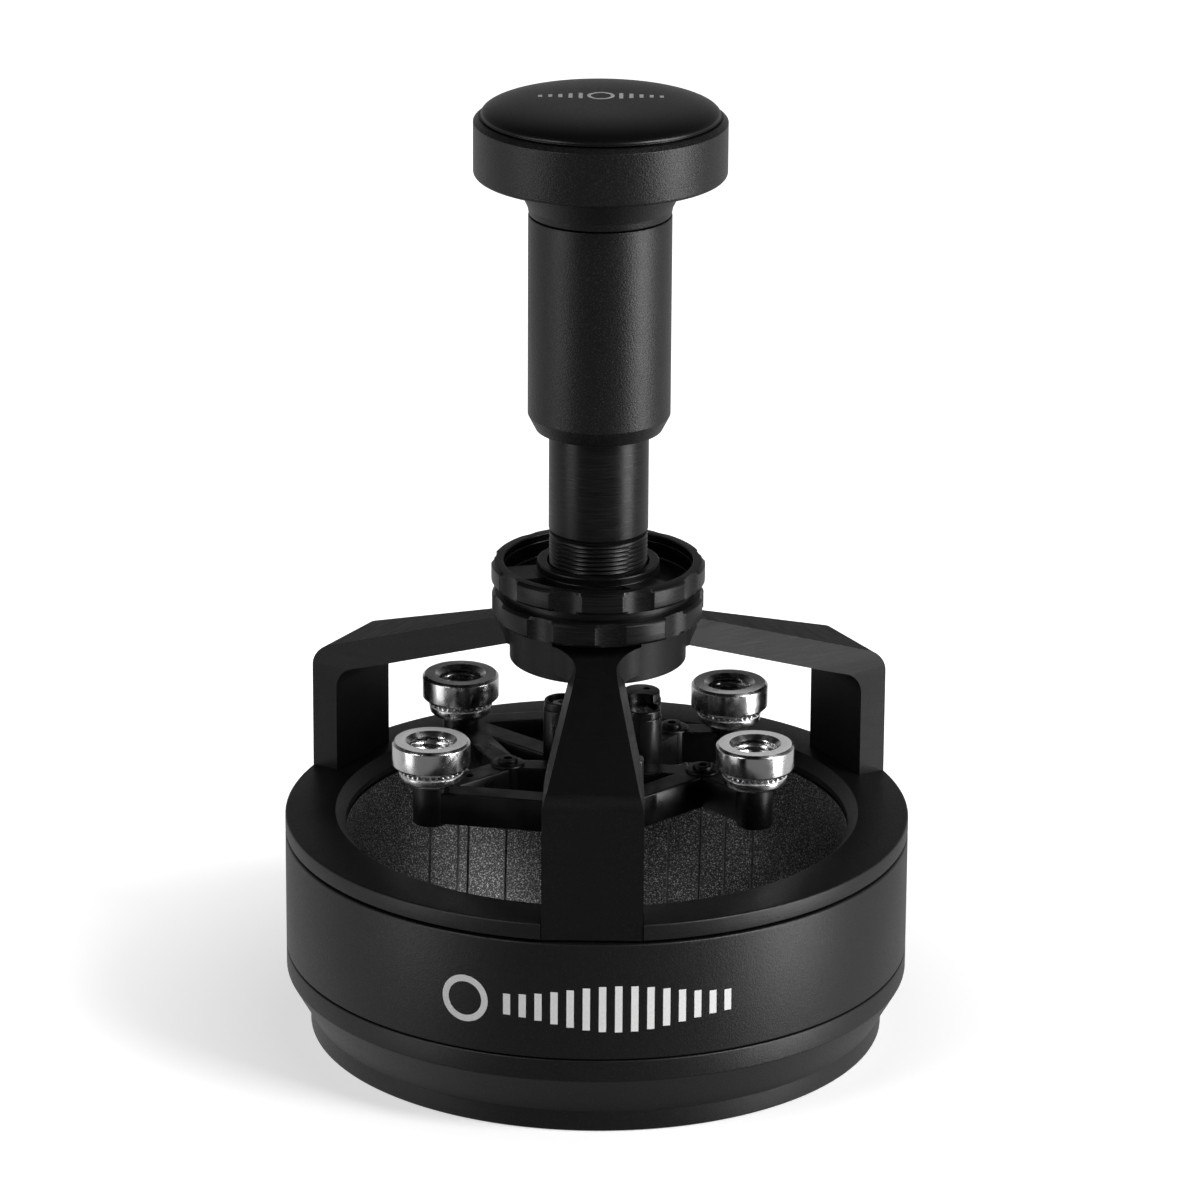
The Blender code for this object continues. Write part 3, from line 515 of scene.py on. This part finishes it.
def arm_mesh(angle):
    """One arm with its leg: a bent strip whose milled sides close in to a waist near the hub."""
    leg_inner = LEG_R - LEG_THICKNESS
    side = rounded([
        (ARM_INNER_R, arm_top(ARM_INNER_R), 0),
        (LEG_R, arm_top(LEG_R), 2.5),
        (LEG_R, LEG_FOOT, 0),
        (leg_inner, LEG_FOOT, 0),
        (leg_inner, arm_top(leg_inner) - ARM_THICKNESS, 2.8),
        (ARM_INNER_R, arm_top(ARM_INNER_R) - ARM_THICKNESS, 0),
    ], 10)
    half = [
        (LEG_WIDTH / 2, LEG_FOOT - 2, 0),
        (LEG_WIDTH / 2, WAIST_FROM, 5.0),
        (WAIST_WIDTH / 2, WAIST_AT, 5.0),
        (WAIST_WIDTH / 2, HUB_TOP + 2, 0),
    ]
    front = rounded(half + [(-y, z, radius) for y, z, radius in reversed(half)], 8)
    width = stood_along(plate(front, 80), angle + 90)
    width = combined(width, [("UNION", "MANIFOLD", hub_fillets(angle))])
    arm = stood_along(plate(side, LEG_WIDTH + 2), angle)
    return combined(arm, [("INTERSECT", "MANIFOLD", width)])


def hub_relief(angle):
    """What the cutter that slopes the arm's top also takes off the hub."""
    inner = (ARM_TOP_AT_AXIS - HUB_TOP) / ARM_SLOPE
    outer = HUB_R + HUB_FILLET
    side = [(inner, arm_top(inner)), (outer, arm_top(outer)), (outer, HUB_TOP + 3), (inner, HUB_TOP + 3)]
    return stood_along(plate(side, HUB_R), angle)


def make_arch():
    hub = rounded([(0, HUB_TOP, 0), (HUB_R, HUB_TOP, 0), (HUB_R, HUB_BOTTOM, 0), (0, HUB_BOTTOM, 0)])
    steps = []
    for angle in ARM_ANGLES:
        steps.append(("DIFFERENCE", "MANIFOLD", hub_relief(angle)))
        steps.append(("UNION", "MANIFOLD", arm_mesh(angle)))
    steps.append(("DIFFERENCE", "MANIFOLD", rod_mesh(STEM_BORE_R, HUB_BOTTOM - 3, HUB_TOP + 3)))
    mesh = bevelled(combined(revolved(hub, MEDIUM), steps), 0.2, angle=28, segments=2)
    add("arch_frame_fine", shade(mesh, 24), "base", ARCH_BLACK, ["arch_frame"])


# ---------------------------------------------------------------- rings and stem


def scalloped(radius, first_angle):
    """Shrinks a point's radius where one of the nine shallow grips crosses it."""

    def wall(r, z, angle):
        if r < radius - 1.5:
            return r
        step = TURN / SCALLOPS
        offset = (angle - math.radians(first_angle) + step / 2) % step - step / 2
        across = SCALLOP_AT * math.sin(offset)
        if abs(across) >= SCALLOP_R:
            return r
        return min(r, SCALLOP_AT * math.cos(offset) - math.sqrt(SCALLOP_R**2 - across**2))

    return wall


def make_rings():
    low, high = span("depth_ring")
    step_top, step_r, top = high, 10.6, 51.22
    depth_r, lock_r, edge = 11.8, 11.87, 0.36
    depth = rounded([
        (STEM_BORE_R, step_top, 0),
        (step_r, step_top, 0.05),
        (step_r, top, 0),
        (depth_r - edge, top, 0.06),
        (depth_r, top - edge, 0.06),
        (depth_r, low + edge, 0.06),
        (depth_r - edge, low, 0.06),
        (STEM_BORE_R, low, 0),
    ], 2)
    mesh = shade(revolved(depth, 720, scalloped(depth_r, -83.0)), 22)
    add("depth_ring_fine", mesh, "depth_ring_body", RING_BLACK, ["depth_ring"])

    low, high = span("lock_ring")
    floor, collar_r, rim_r = 53.9, 6.8, 10.5
    lock = rounded([
        (STEM_BORE_R, high, 0.15),
        (collar_r, high, 0.15),
        (collar_r, floor, 0.1),
        (rim_r, floor, 0.1),
        (rim_r, high, 0.1),
        (lock_r - edge, high, 0.06),
        (lock_r, high - edge, 0.06),
        (lock_r, low + edge, 0.06),
        (lock_r - edge, low, 0.06),
        (STEM_BORE_R, low, 0),
    ], 2)
    window_in, window_out = collar_r + 0.05, rim_r - 0.05
    windows = revolved(
        [(window_in, high + 1), (window_out, high + 1), (window_out, low - 1), (window_in, low - 1)]
    )
    spokes = []
    for angle in (-167.0, -47.0, 73.0):
        bar = moved(block((0, -2.2, low - 3), (14, 2.2, high + 3)), turn=math.radians(angle))
        spokes.append(("DIFFERENCE", "EXACT", bar))
    cut = combined(windows, spokes)
    mesh = combined(revolved(lock, 720, scalloped(lock_r, -107.6)), [("DIFFERENCE", "EXACT", cut)])
    add("lock_ring_fine", shade(mesh, 22), "lock_ring_body", RING_BLACK, ["lock_ring"])


def threaded(depth, pitch, low, high, sign=-1):
    """Moves a point's radius along a V thread between two heights, fading out at both ends."""

    def wall(r, z, angle):
        if not low < z < high:
            return r
        phase = (z / pitch - angle / TURN) % 1.0
        fade = min(1.0, (z - low) / pitch, (high - z) / pitch)
        return r + sign * depth * fade * (1 - abs(2 * phase - 1))

    return wall


def make_stem():
    bottom, top = span("guide_tube")
    root_r = TUBE_R - 0.05
    rows = round((THREAD_TOP - bottom) / THREAD_PITCH * 8)
    flank = [(root_r, THREAD_TOP + (bottom - THREAD_TOP) * k / rows) for k in range(1, rows)]
    upper = rounded([
        (TUBE_BORE_R, top, 0),
        (TUBE_R, top, 0.3),
        (TUBE_R, THREAD_TOP + 0.3, 0.12),
        (TUBE_R - 0.28, THREAD_TOP + 0.05, 0),
    ], 3)
    profile = upper + flank + [(root_r - 0.2, bottom), (TUBE_BORE_R, bottom)]
    wall = threaded(THREAD_DEPTH, THREAD_PITCH, bottom, THREAD_TOP)

    def outer_only(r, z, angle):
        return wall(r, z, angle) if abs(r - root_r) < 1e-6 else r

    mesh = revolved(profile, 96, outer_only)
    add("guide_tube_fine", mesh, "stem", RING_BLACK, ["guide_tube"])
    for node, material, slot, inner in (
        ("lower_bush", POLYMER, "bush_polymer", 3.1),
        ("sleeve_bush", POLYMER, "bush_polymer", 5.85),
        ("bearing_outer_race", STEEL, "steel", 3.1),
        ("bearing_inner_race", STEEL, "steel", 1.6),
        ("spring_washer", STEEL, "steel", 1.6),
    ):
        bodies = frame["record"]["behaviour"]["bodies"]
        body = next(name for name, members in bodies.items() if node in members)
        low, high = span(node)
        tube = tube_mesh(inner, radius_of(node), low, high, 0.1, SMALL)
        add(node + "_fine", tube, body, material, [node])


def make_spring():
    low, high = span("return_spring")
    wire_r, coil_r, turns, sides, points_a_turn = 0.4, 3.6, 9.0, 10, 36
    count = round(turns * points_a_turn)
    shape = bmesh.new()
    rings = []
    for k in range(count + 1):
        angle = TURN * k / points_a_turn
        height = low + wire_r + (high - low - 2 * wire_r) * k / count
        ring = []
        for s in range(sides):
            turn = TURN * s / sides
            r = coil_r + wire_r * math.cos(turn)
            place = (r * math.cos(angle), r * math.sin(angle), height + wire_r * math.sin(turn))
            ring.append(shape.verts.new([v * MM for v in place]))
        rings.append(ring)
    for a, b in zip(rings, rings[1:]):
        for s in range(sides):
            n = (s + 1) % sides
            shape.faces.new((a[s], b[s], b[n], a[n]))
    shape.faces.new(rings[0])
    shape.faces.new(list(reversed(rings[-1])))
    bmesh.ops.recalc_face_normals(shape, faces=shape.faces)
    mesh = bpy.data.meshes.new("return_spring")
    shape.to_mesh(mesh)
    shape.free()
    spring = add("return_spring_fine", shade(mesh, 50), "stem", STEEL, ["return_spring"])
    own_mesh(spring)


# ---------------------------------------------------------------- handle


def make_handle():
    bottom, top = span("sleeve")
    sleeve_r, nose_r, shoulder = radius_of("sleeve"), 6.99, 71.93
    sleeve = rounded([
        (7.0, top, 0),
        (sleeve_r, top, 0.12),
        (sleeve_r, shoulder, 0.35),
        (nose_r, bottom, 0.2),
        (5.85, bottom, 0.1),
        (5.85, 71.4, 0),
        (7.0, 71.4, 0),
    ])
    add("sleeve_fine", revolved(sleeve), "handle", HANDLE_BLACK, ["sleeve"])

    low, high = span("knob")
    knob_r, under, edge, seat_r = radius_of("knob"), 99.15, 105.1, 12.5
    knob = rounded([
        (seat_r, high - 0.05, 0.05),
        (13.3, high - 0.02, 0.12),
        (knob_r, edge, 0.12),
        (knob_r, under, 0.45),
        (9.6, under - 0.05, 2.6),
        (7.95, 95.6, 0.6),
        (7.8, 94.8, 0.08),
        (6.7, 94.8, 0),
        (6.7, low, 0.1),
        (4.3, low, 0.1),
        (4.3, 95.3, 0),
        (2.8, 95.3, 0),
        (2.8, 103.2, 0),
        (seat_r, 103.2, 0),
    ], 8)
    add("knob_fine", revolved(knob), "handle", HANDLE_BLACK, ["knob"])

    crown = [(0, CAP_APEX)]
    for k in range(1, 49):
        r = (CAP_R - 0.1) * math.sin(TURN / 4 * k / 48)
        crown.append((r, cap_height(r)))
    bead = rounded([
        (CAP_R - 0.1, CAP_RIM + 0.14, 0),
        (CAP_R, CAP_RIM + 0.1, 0.04),
        (CAP_R, CAP_RIM, 0.04),
        (seat_r - 0.3, CAP_RIM, 0),
    ], 2)
    profile = crown + bead[1:] + [(seat_r - 0.3, 103.5), (0, 103.5)]
    add("knob_cap_fine", shade(revolved(profile), 40), "handle", CAP_BLACK, ["knob_cap"])


CAP_R, CAP_RIM, CAP_APEX = 13.1, span("knob")[1] + 0.16, span("knob_cap")[1]


def cap_height(radius):
    """Height of the cap's top: nearly flat, then rolling over towards the bead round its rim."""
    share = min(1.0, radius / (CAP_R - 0.1))
    return CAP_RIM + 0.14 + (CAP_APEX - CAP_RIM - 0.14) * (1 - share**3.8) ** 0.52


# ---------------------------------------------------------------- rotor


def twisted_bar_radius(angle, height):
    """The radius of the flat bar, whose section turns once in 12 mm, rounded at its corners."""
    half_wide, half_thick, lead = 2.6, 1.1, 12.0
    turned_by = angle - TURN * (height - 67.25) / lead
    across, along = abs(math.cos(turned_by)) / half_wide, abs(math.sin(turned_by)) / half_thick
    return (across**10 + along**10) ** -0.1


def make_spindle():
    low, high = span("spindle")
    shaft_r, shaft_top, journal_bottom, journal_r = 2.8, 58.0, 77.4, 1.3
    rows = [(1.0, shaft_top + (journal_bottom - shaft_top) * (1 - k / 110)) for k in range(111)]
    profile = [
        (0, high),
        (journal_r - 0.2, high),
        (journal_r, high - 0.2),
        (journal_r, journal_bottom + 0.05),
        *rows,
        (shaft_r, shaft_top - 0.05),
        (shaft_r, low + 0.3),
        (shaft_r - 0.3, low),
        (0, low),
    ]

    def wall(r, z, angle):
        return twisted_bar_radius(angle, z) if r == 1.0 else r

    add("spindle_fine", revolved(profile, 72, wall), "rotor", STEEL, ["spindle"])


def socket_screw(name, node, body, head_r, head_low, head_high, shank_r, hex_from_top=True):
    """A screw on the axis of its CAD node, with a hexagon socket in its head."""
    low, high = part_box(node)
    place = ((low.x + high.x) / 2 / MM, (low.y + high.y) / 2 / MM)
    bottom, top = low.z / MM, high.z / MM
    near, far = (head_low, head_high) if hex_from_top else (head_high, head_low)
    shank_end = bottom if hex_from_top else top
    corners = [
        (0, far, 0),
        (head_r, far, 0.15),
        (head_r, near, 0.1),
        (shank_r, near, 0),
        (shank_r, shank_end, 0.1),
        (0, shank_end, 0),
    ]
    if not hex_from_top:
        corners.reverse()
    screw = revolved(rounded(corners, 3), SMALL)
    socket_r, deep = head_r * 0.5, (head_high - head_low) * 0.6
    ends = (far - deep, far + 1) if hex_from_top else (far - 1, far + deep)
    hexagon = rod_mesh(socket_r, min(ends), max(ends), steps=6)
    mesh = shade(combined(screw, [("DIFFERENCE", "EXACT", hexagon)]))
    add(name, moved(mesh, *place), body, STEEL, [node])


def nut_mesh():
    """A self-clinching nut: chamfered body, a ring of teeth, a smooth collar and a tapped hole."""
    bottom, top = span("needle_nut_left_front")
    shoulder, tooth_low, tooth_high = 33.0, 32.35, 32.92
    body_r, collar_r, neck_r, hole_r, sink = 4.35, 3.6, 3.22, 2.38, 0.5
    teeth, pitch = 32, 0.8
    rows = round((top - sink - bottom) / pitch * 8)
    tapped = [(hole_r, bottom + (top - sink - bottom) * k / rows) for k in range(rows + 1)]
    serrated = [(neck_r, tooth_high - (tooth_high - tooth_low) * k / 6) for k in range(7)]
    upper = rounded([
        (hole_r, top - sink, 0),
        (hole_r + sink, top, 0.05),
        (body_r - 0.3, top, 0.1),
        (body_r, top - 0.3, 0.15),
        (body_r, shoulder + 0.32, 0.12),
        (body_r - 0.32, shoulder, 0.1),
        (neck_r, shoulder, 0),
    ], 3)
    lower = rounded([
        (neck_r, tooth_low, 0),
        (collar_r, tooth_low - 0.05, 0.05),
        (collar_r - 0.08, bottom + 0.4, 0.2),
        (collar_r - 0.5, bottom, 0.1),
        (hole_r, bottom, 0),
    ], 3)
    threads = threaded(0.3, pitch, bottom, top - sink + 0.02, 1)

    def wall(r, z, angle):
        if r == hole_r:
            return threads(r, z, angle)
        if r == neck_r and tooth_low < z < tooth_high:
            rise = (z - tooth_low) / (tooth_high - tooth_low)
            tooth = abs(2 * (teeth * angle / TURN % 1.0) - 1)
            return r + (collar_r - neck_r) * min(1.0, max(0.0, 4 * (tooth - 0.8 * rise)))
        return r

    return shade(revolved(upper[1:] + serrated + lower[1:-1] + tapped, 8 * teeth, wall), 30)


def bar_mesh(start, end, width=BAR_WALL, bottom=TRUSS_BOTTOM, top=TRUSS_TOP):
    a, b = Vector(start), Vector(end)
    bar = block((0, -width / 2, bottom), ((b - a).length, width / 2, top))
    bar = bevelled(bar, 0.22)
    return moved(bar, a.x, a.y, 0, math.atan2(b.y - a.y, b.x - a.x))


LEFT_TOWER, RIGHT_TOWER, RIGHT_DISH, FRONT_PIN = (-3.86, 3.63), (4.94, 5.6), (5.0, 2.8), (3.07, -6.9)
LEFT_TOWER_TOP, RIGHT_TOWER_TOP, RIGHT_DISH_TOP = 36.9, 37.3, 36.3
LEFT_BOSS, RIGHT_BACK_BOSS, RIGHT_BOSS = (-10.0, 0.5), (8.5, 12.1), (11.8, -1.2)
FRONT_CORNER, RIGHT_CORNER, BACK_CORNER = (1.5, -11.0), (5.5, -7.2), (-3.7, 16.6)
LEFT_EYE = (-14.2, -3.3)
TOWER_R, BOSS_R, POST_R, DISH = 2.1, 1.9, 2.05, 0.45


def make_carrier():
    centre = (0.0, 0.0)
    bars = (
        (POSTS["left_front"], FRONT_CORNER),
        (FRONT_CORNER, RIGHT_CORNER),
        (RIGHT_CORNER, RIGHT_BOSS),
        (RIGHT_BOSS, POSTS["right_front"]),
        (centre, RIGHT_BOSS),
        (centre, RIGHT_BACK_BOSS),
        (RIGHT_BACK_BOSS, POSTS["right_back"]),
        (centre, POSTS["left_back"]),
        (POSTS["left_back"], BACK_CORNER),
        (BACK_CORNER, centre),
        (POSTS["left_back"], LEFT_BOSS),
        (LEFT_BOSS, POSTS["left_front"]),
        (centre, LEFT_BOSS),
        (centre, FRONT_CORNER),
    )
    joined = [bar_mesh(*ends) for ends in bars]
    corners = (FRONT_CORNER, RIGHT_CORNER, BACK_CORNER)
    joined += [rod_mesh(BAR_WALL / 2, TRUSS_BOTTOM, TRUSS_TOP, p, 40, 0.2) for p in corners]
    holes = []
    for place in (LEFT_BOSS, RIGHT_BACK_BOSS, RIGHT_BOSS):
        joined.append(rod_mesh(BOSS_R, TRUSS_BOTTOM - 0.1, 30.55, place, 40, 0.2))
        joined.append(rod_mesh(1.1, 28, 31.0, place, 40, 0.12))
        holes.append(rod_mesh(0.5, 20, 40, place, 24))
    for place in POSTS.values():
        joined.append(rod_mesh(POST_R, 26.3, 32.6, place, 48, 0.2))
    towers = ((LEFT_TOWER, LEFT_TOWER_TOP), (RIGHT_TOWER, RIGHT_TOWER_TOP), (RIGHT_DISH, RIGHT_DISH_TOP))
    for place, top in towers:
        joined.append(rod_mesh(TOWER_R, TRUSS_BOTTOM - 0.1, top, place, 48, 0.12))
        joined.append(rod_mesh(TOWER_R + 0.13, TRUSS_BOTTOM + 0.1, top - 0.9, place, 48, 0.1))
    for place, top in (towers[0], towers[2]):
        holes.append(rod_mesh(TOWER_R - 0.35, top - DISH, 40, place, 48))
        holes.append(rod_mesh(1.3, 30.8, 40, place, 40))
    holes.append(rod_mesh(0.4, 34, 40, (RIGHT_TOWER[0] + 0.6, RIGHT_TOWER[1] + 0.6), 24))
    holes.append(rod_mesh(1.3, 27.3, 40, FRONT_PIN, 40))
    holes += [
        rod_mesh(3.1, 28.1, 40, steps=SMALL),
        rod_mesh(1.6, 20, 30, steps=40),
        rod_mesh(0.45, 20, 40, LEFT_EYE, 24),
        rod_mesh(0.45, 20, 29.9, FRONT_CORNER, 24),
    ]
    holes += [rod_mesh(0.45, 20, 29.9, place, 24) for place in POSTS.values()]
    hub = rod_mesh(4.6, TRUSS_BOTTOM, 32.0, steps=SMALL, soften=0.3)
    steps = [("UNION", "MANIFOLD", mesh) for mesh in joined]
    steps += [("DIFFERENCE", "MANIFOLD", mesh) for mesh in holes]
    add("carrier_fine", shade(combined(hub, steps)), "rotor", PLASTIC, ["carrier"])


def make_needles():
    lean = math.radians(1.2)
    for node in sorted(n for n in frame["nodes"] if n.startswith("needle_") and n[7:].isdigit()):
        low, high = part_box(node)
        x, y = (low.x + high.x) / 2 / MM, (low.y + high.y) / 2 / MM
        bottom, top = low.z / MM, high.z / MM
        profile = [(0, top), (0.14, top), (0.14, bottom + 1.0), (0.1, bottom + 0.3), (0, bottom)]
        mesh = revolved(profile, 20)
        mesh.transform(Matrix.Translation((0, 0, -top * MM)))
        mesh.transform(Matrix.Translation((x * MM, y * MM, top * MM)) @ Matrix.Rotation(lean, 4, "Y"))
        add(node + "_fine", mesh, "rotor", NEEDLE_STEEL, [node])


def make_rotor():
    make_spindle()
    make_carrier()
    nut = nut_mesh()
    for name, place in POSTS.items():
        node = "needle_nut_" + name
        obj = add(node + "_fine", moved(nut.copy(), *place), "rotor", CHROME, [node])
        # Faces that point up take the pale copy of the chrome: painted sheen on the nuts' faced tops.
        obj.data.materials.append(CHROME_FACED_PAINTED_SHEEN)
        for face in obj.data.polygons:
            if face.normal.z > 0.9:
                face.material_index = 1
    make_needles()
    for k, top in enumerate((LEFT_TOWER_TOP, RIGHT_DISH_TOP), 1):
        node = f"tower_screw_{k}"
        socket_screw(node + "_fine", node, "rotor", 1.25, top - 1.2, top - DISH + 0.1, 0.95)
    socket_screw("front_pin_fine", "front_pin", "rotor", TOWER_R, TRUSS_TOP + 0.05, 33.9, 1.0)
    socket_screw("carrier_screw_fine", "carrier_screw", "rotor", 2.5, 25.2, 26.3, 1.3, hex_from_top=False)
    socket_screw("spindle_screw_fine", "spindle_screw", "rotor", 2.1, 95.5, 96.8, 0.6)


# ---------------------------------------------------------------- plain mark


def stroke_outlines(count, pitch, width, least, most, skip=0.0):
    """Upright strokes in a row about 0, tallest in the middle, none nearer to it than skip."""
    for k in range(count):
        x = (k - (count - 1) / 2) * pitch
        half = least + (most - least) * math.cos(math.pi * (k - (count - 1) / 2) / count) ** 2
        if abs(x) >= skip:
            yield [(x - width, -half), (x + width, -half), (x + width, half), (x - width, half)]


def ring_outlines(radius, width, parts=40):
    for k in range(parts):
        a, b = TURN * k / parts, TURN * (k + 1) / parts
        corners = [(radius, a), (radius, b), (radius - width, b), (radius - width, a)]
        yield [(r * math.cos(t), r * math.sin(t)) for r, t in corners]


def printed_mark(name, outlines, place, body, ink):
    """A thin layer of ink; place(x, y, depth) gives the point that lies depth under the surface."""
    shape = bmesh.new()
    for outline in outlines:
        outer = [shape.verts.new(place(x, y, -0.004)) for x, y in outline]
        inner = [shape.verts.new(place(x, y, 0.08)) for x, y in outline]
        shape.faces.new(outer)
        shape.faces.new(list(reversed(inner)))
        for i in range(len(outline)):
            n = (i + 1) % len(outline)
            shape.faces.new((outer[i], inner[i], inner[n], outer[n]))
    bmesh.ops.recalc_face_normals(shape, faces=shape.faces)
    mesh = bpy.data.meshes.new(name)
    shape.to_mesh(mesh)
    shape.free()
    add(name, mesh, body, ink)


def make_marks():
    """Plain strokes and a ring, with no letters, on the front of the body and on the cap."""

    def on_body(x, z, depth):
        angle, radius = x / BODY_R, BODY_R - 0.02 - depth
        return Vector((radius * math.sin(angle), -radius * math.cos(angle), 15.6 + z)) * MM

    def on_cap(x, y, depth):
        y += 2.2
        return Vector((x, y, cap_height(math.hypot(x, y)) - depth)) * MM

    row = [[(x + 2.5, z) for x, z in outline] for outline in stroke_outlines(15, 1.75, 0.4, 1.2, 2.7)]
    ring = [[(x - 14.6, z) for x, z in outline] for outline in ring_outlines(2.7, 0.75)]
    printed_mark("body_mark", row + ring, on_body, "base", WHITE_INK)
    small = [*stroke_outlines(13, 1.1, 0.22, 0.4, 1.3, skip=2.1), *ring_outlines(1.5, 0.4)]
    printed_mark("cap_mark", small, on_cap, "handle", GREY_INK)


# ---------------------------------------------------------------- studio


# The fill light of the floor, seen by the camera only: from the near distance in m to the far one it
# rises from the near value to plain white
FLOOR_NEAR, FLOOR_FAR, FLOOR_FILL_NEAR = 0.035, 0.085, 0.55
FLOOR_Z, FLOOR_HALF = -0.55, 4000  # mm
BORE_DISK_R, BORE_DISK_BOTTOM, BORE_DISK_TOP = 31.5, -0.045, -0.03  # mm


def make_stage():
    """A pale floor that takes soft shadows but isn't in the way of the lights, and a disk under the bore.

    No light bounces off the floor, so the disk stands in for it where it closes the open bore.
    """
    far = FLOOR_HALF
    floor = add("floor", plate([(-far, -far), (far, -far), (far, far), (-far, far)], 1.0))
    floor.location.z = FLOOR_Z * MM
    m = Nodes("floor", (0.8, 0.8, 0.8), 0.0, 0.9, **{"Specular IOR Level": 0.0})
    m.set(m.shader, {"Emission Color": (1, 1, 1, 1)})
    reach = m.node("ShaderNodeVectorMath", {0: m.point()}, operation="LENGTH").outputs["Value"]
    fill = m.span(reach, FLOOR_NEAR, FLOOR_FAR, FLOOR_FILL_NEAR, 1.0)
    seen = m.node("ShaderNodeLightPath").outputs["Is Camera Ray"]
    m.drive("Emission Strength", m.maths("MULTIPLY", fill, seen))
    floor.data.materials.append(m.material)
    floor.visible_diffuse = floor.visible_glossy = floor.visible_shadow = False
    disk = rod_mesh(BORE_DISK_R, BORE_DISK_BOTTOM, BORE_DISK_TOP, steps=MEDIUM)
    table = Nodes("table", (0.8, 0.8, 0.8), 0.0, 0.9).material
    add("floor_in_bore", disk, finish=table)


def softbox(name, azimuth, elevation, distance, width, height, power, aim=(0, 0, 0.055)):
    """An area light; azimuth 0 is the camera's side, and positive is to its right."""
    a, e = math.radians(azimuth), math.radians(elevation)
    direction = Vector((math.sin(a) * math.cos(e), -math.cos(a) * math.cos(e), math.sin(e)))
    light = bpy.data.lights.new(name, "AREA")
    light.shape, light.size, light.size_y, light.energy = "RECTANGLE", width, height, power
    obj = bpy.data.objects.new(name, light)
    obj.location = Vector(aim) + direction * distance
    obj.rotation_euler = direction.to_track_quat("Z", "Y").to_euler()
    bpy.context.scene.collection.objects.link(obj)


# How bright the backdrop is by the z of the direction, and what share of it the camera's side has
BACKDROP = ((0.0, 0.5), (0.34, 0.12), (0.7, 0.012))
FRONT_SHARE = 0.06
TABLE_GLOW = (0.16, 0.5)  # how bright the table reflects in the tool, on the camera's side and behind


# Azimuth and elevation in degrees, then distance, width and height in m, and power in W
SOFTBOXES = {
    "right_softbox": (70, 0, 0.75, 0.34, 0.7, 4.3),
    "left_softbox": (-66, 0, 0.8, 0.34, 0.7, 1.3),
    "upper_right_softbox": (58, 36, 0.8, 0.22, 0.3, 3.3),
    "upper_left_softbox": (-50, 36, 0.8, 0.22, 0.3, 1.1),
}


def make_light():
    for name, numbers in SOFTBOXES.items():
        softbox(name, *numbers)
    world = bpy.data.worlds.new("studio")
    bpy.context.scene.world = world
    world.use_nodes = True
    tree = world.node_tree

    def span(value, low, high, to_low, to_high):
        links = {"Value": value, "From Min": low, "From Max": high, "To Min": to_low, "To Max": to_high}
        return wired(tree, "ShaderNodeMapRange", links).outputs["Result"]

    def maths(operation, a, b):
        return wired(tree, "ShaderNodeMath", {0: a, 1: b}, operation=operation).outputs[0]

    direction = wired(tree, "ShaderNodeTexCoord").outputs["Generated"]
    parts = wired(tree, "ShaderNodeSeparateXYZ", {0: direction}).outputs
    sky = wired(tree, "ShaderNodeValToRGB", {"Fac": parts["Z"]})
    stops = sky.color_ramp.elements
    stops.new(BACKDROP[1][0])
    for stop, (rise, brightness) in zip(stops, BACKDROP):
        stop.position, stop.color = rise, (brightness, brightness, brightness, 1.0)
    above = maths("MULTIPLY", sky.outputs["Color"], span(parts["Z"], -0.02, 0.02, 0.0, 1.0))
    above = maths("MULTIPLY", above, span(parts["Y"], -0.35, 0.2, FRONT_SHARE, 1.0))
    under = span(parts["Z"], 0.02, -0.08, 0.0, 1.0)
    below = maths("MULTIPLY", under, span(parts["Y"], -0.35, 0.3, *TABLE_GLOW))
    seen = wired(tree, "ShaderNodeLightPath").outputs["Is Camera Ray"]
    tree.nodes["Background"].inputs["Color"].default_value = (1, 1, 1, 1)
    strength = span(seen, 0.0, 1.0, maths("ADD", above, below), 1.0)
    tree.links.new(strength, tree.nodes["Background"].inputs["Strength"])
    bpy.context.scene.view_settings.view_transform = "Standard"


CAMERA_LENS, SENSOR_WIDTH, CAMERA_SHIFT = 193.63, 36.0, 0.00166  # mm, mm, share of the width
CAMERA_DOWN, CAMERA_ROLL = 19.56, 0.339  # degrees
CAMERA_PLACE = (0, -0.6757, 0.2901)  # m


def make_camera():
    camera = bpy.data.cameras.new("camera")
    camera.lens, camera.sensor_width, camera.shift_x = CAMERA_LENS, SENSOR_WIDTH, CAMERA_SHIFT
    camera.clip_start = 0.01
    obj = bpy.data.objects.new("camera", camera)
    pitch, roll = math.radians(90 - CAMERA_DOWN), math.radians(CAMERA_ROLL)
    tilt = Matrix.Rotation(pitch, 4, "X") @ Matrix.Rotation(roll, 4, "Z")
    obj.matrix_world = Matrix.Translation(CAMERA_PLACE) @ tilt
    bpy.context.scene.collection.objects.link(obj)
    bpy.context.scene.camera = obj


make_camera()
make_stage()
make_light()
make_base()
make_arch()
make_rings()
make_stem()
make_spring()
make_handle()
make_rotor()
make_marks()
for node in frame["nodes"].values():
    if not node.hide_render:
        node.data.materials.clear()
        node.data.materials.append(STEEL)
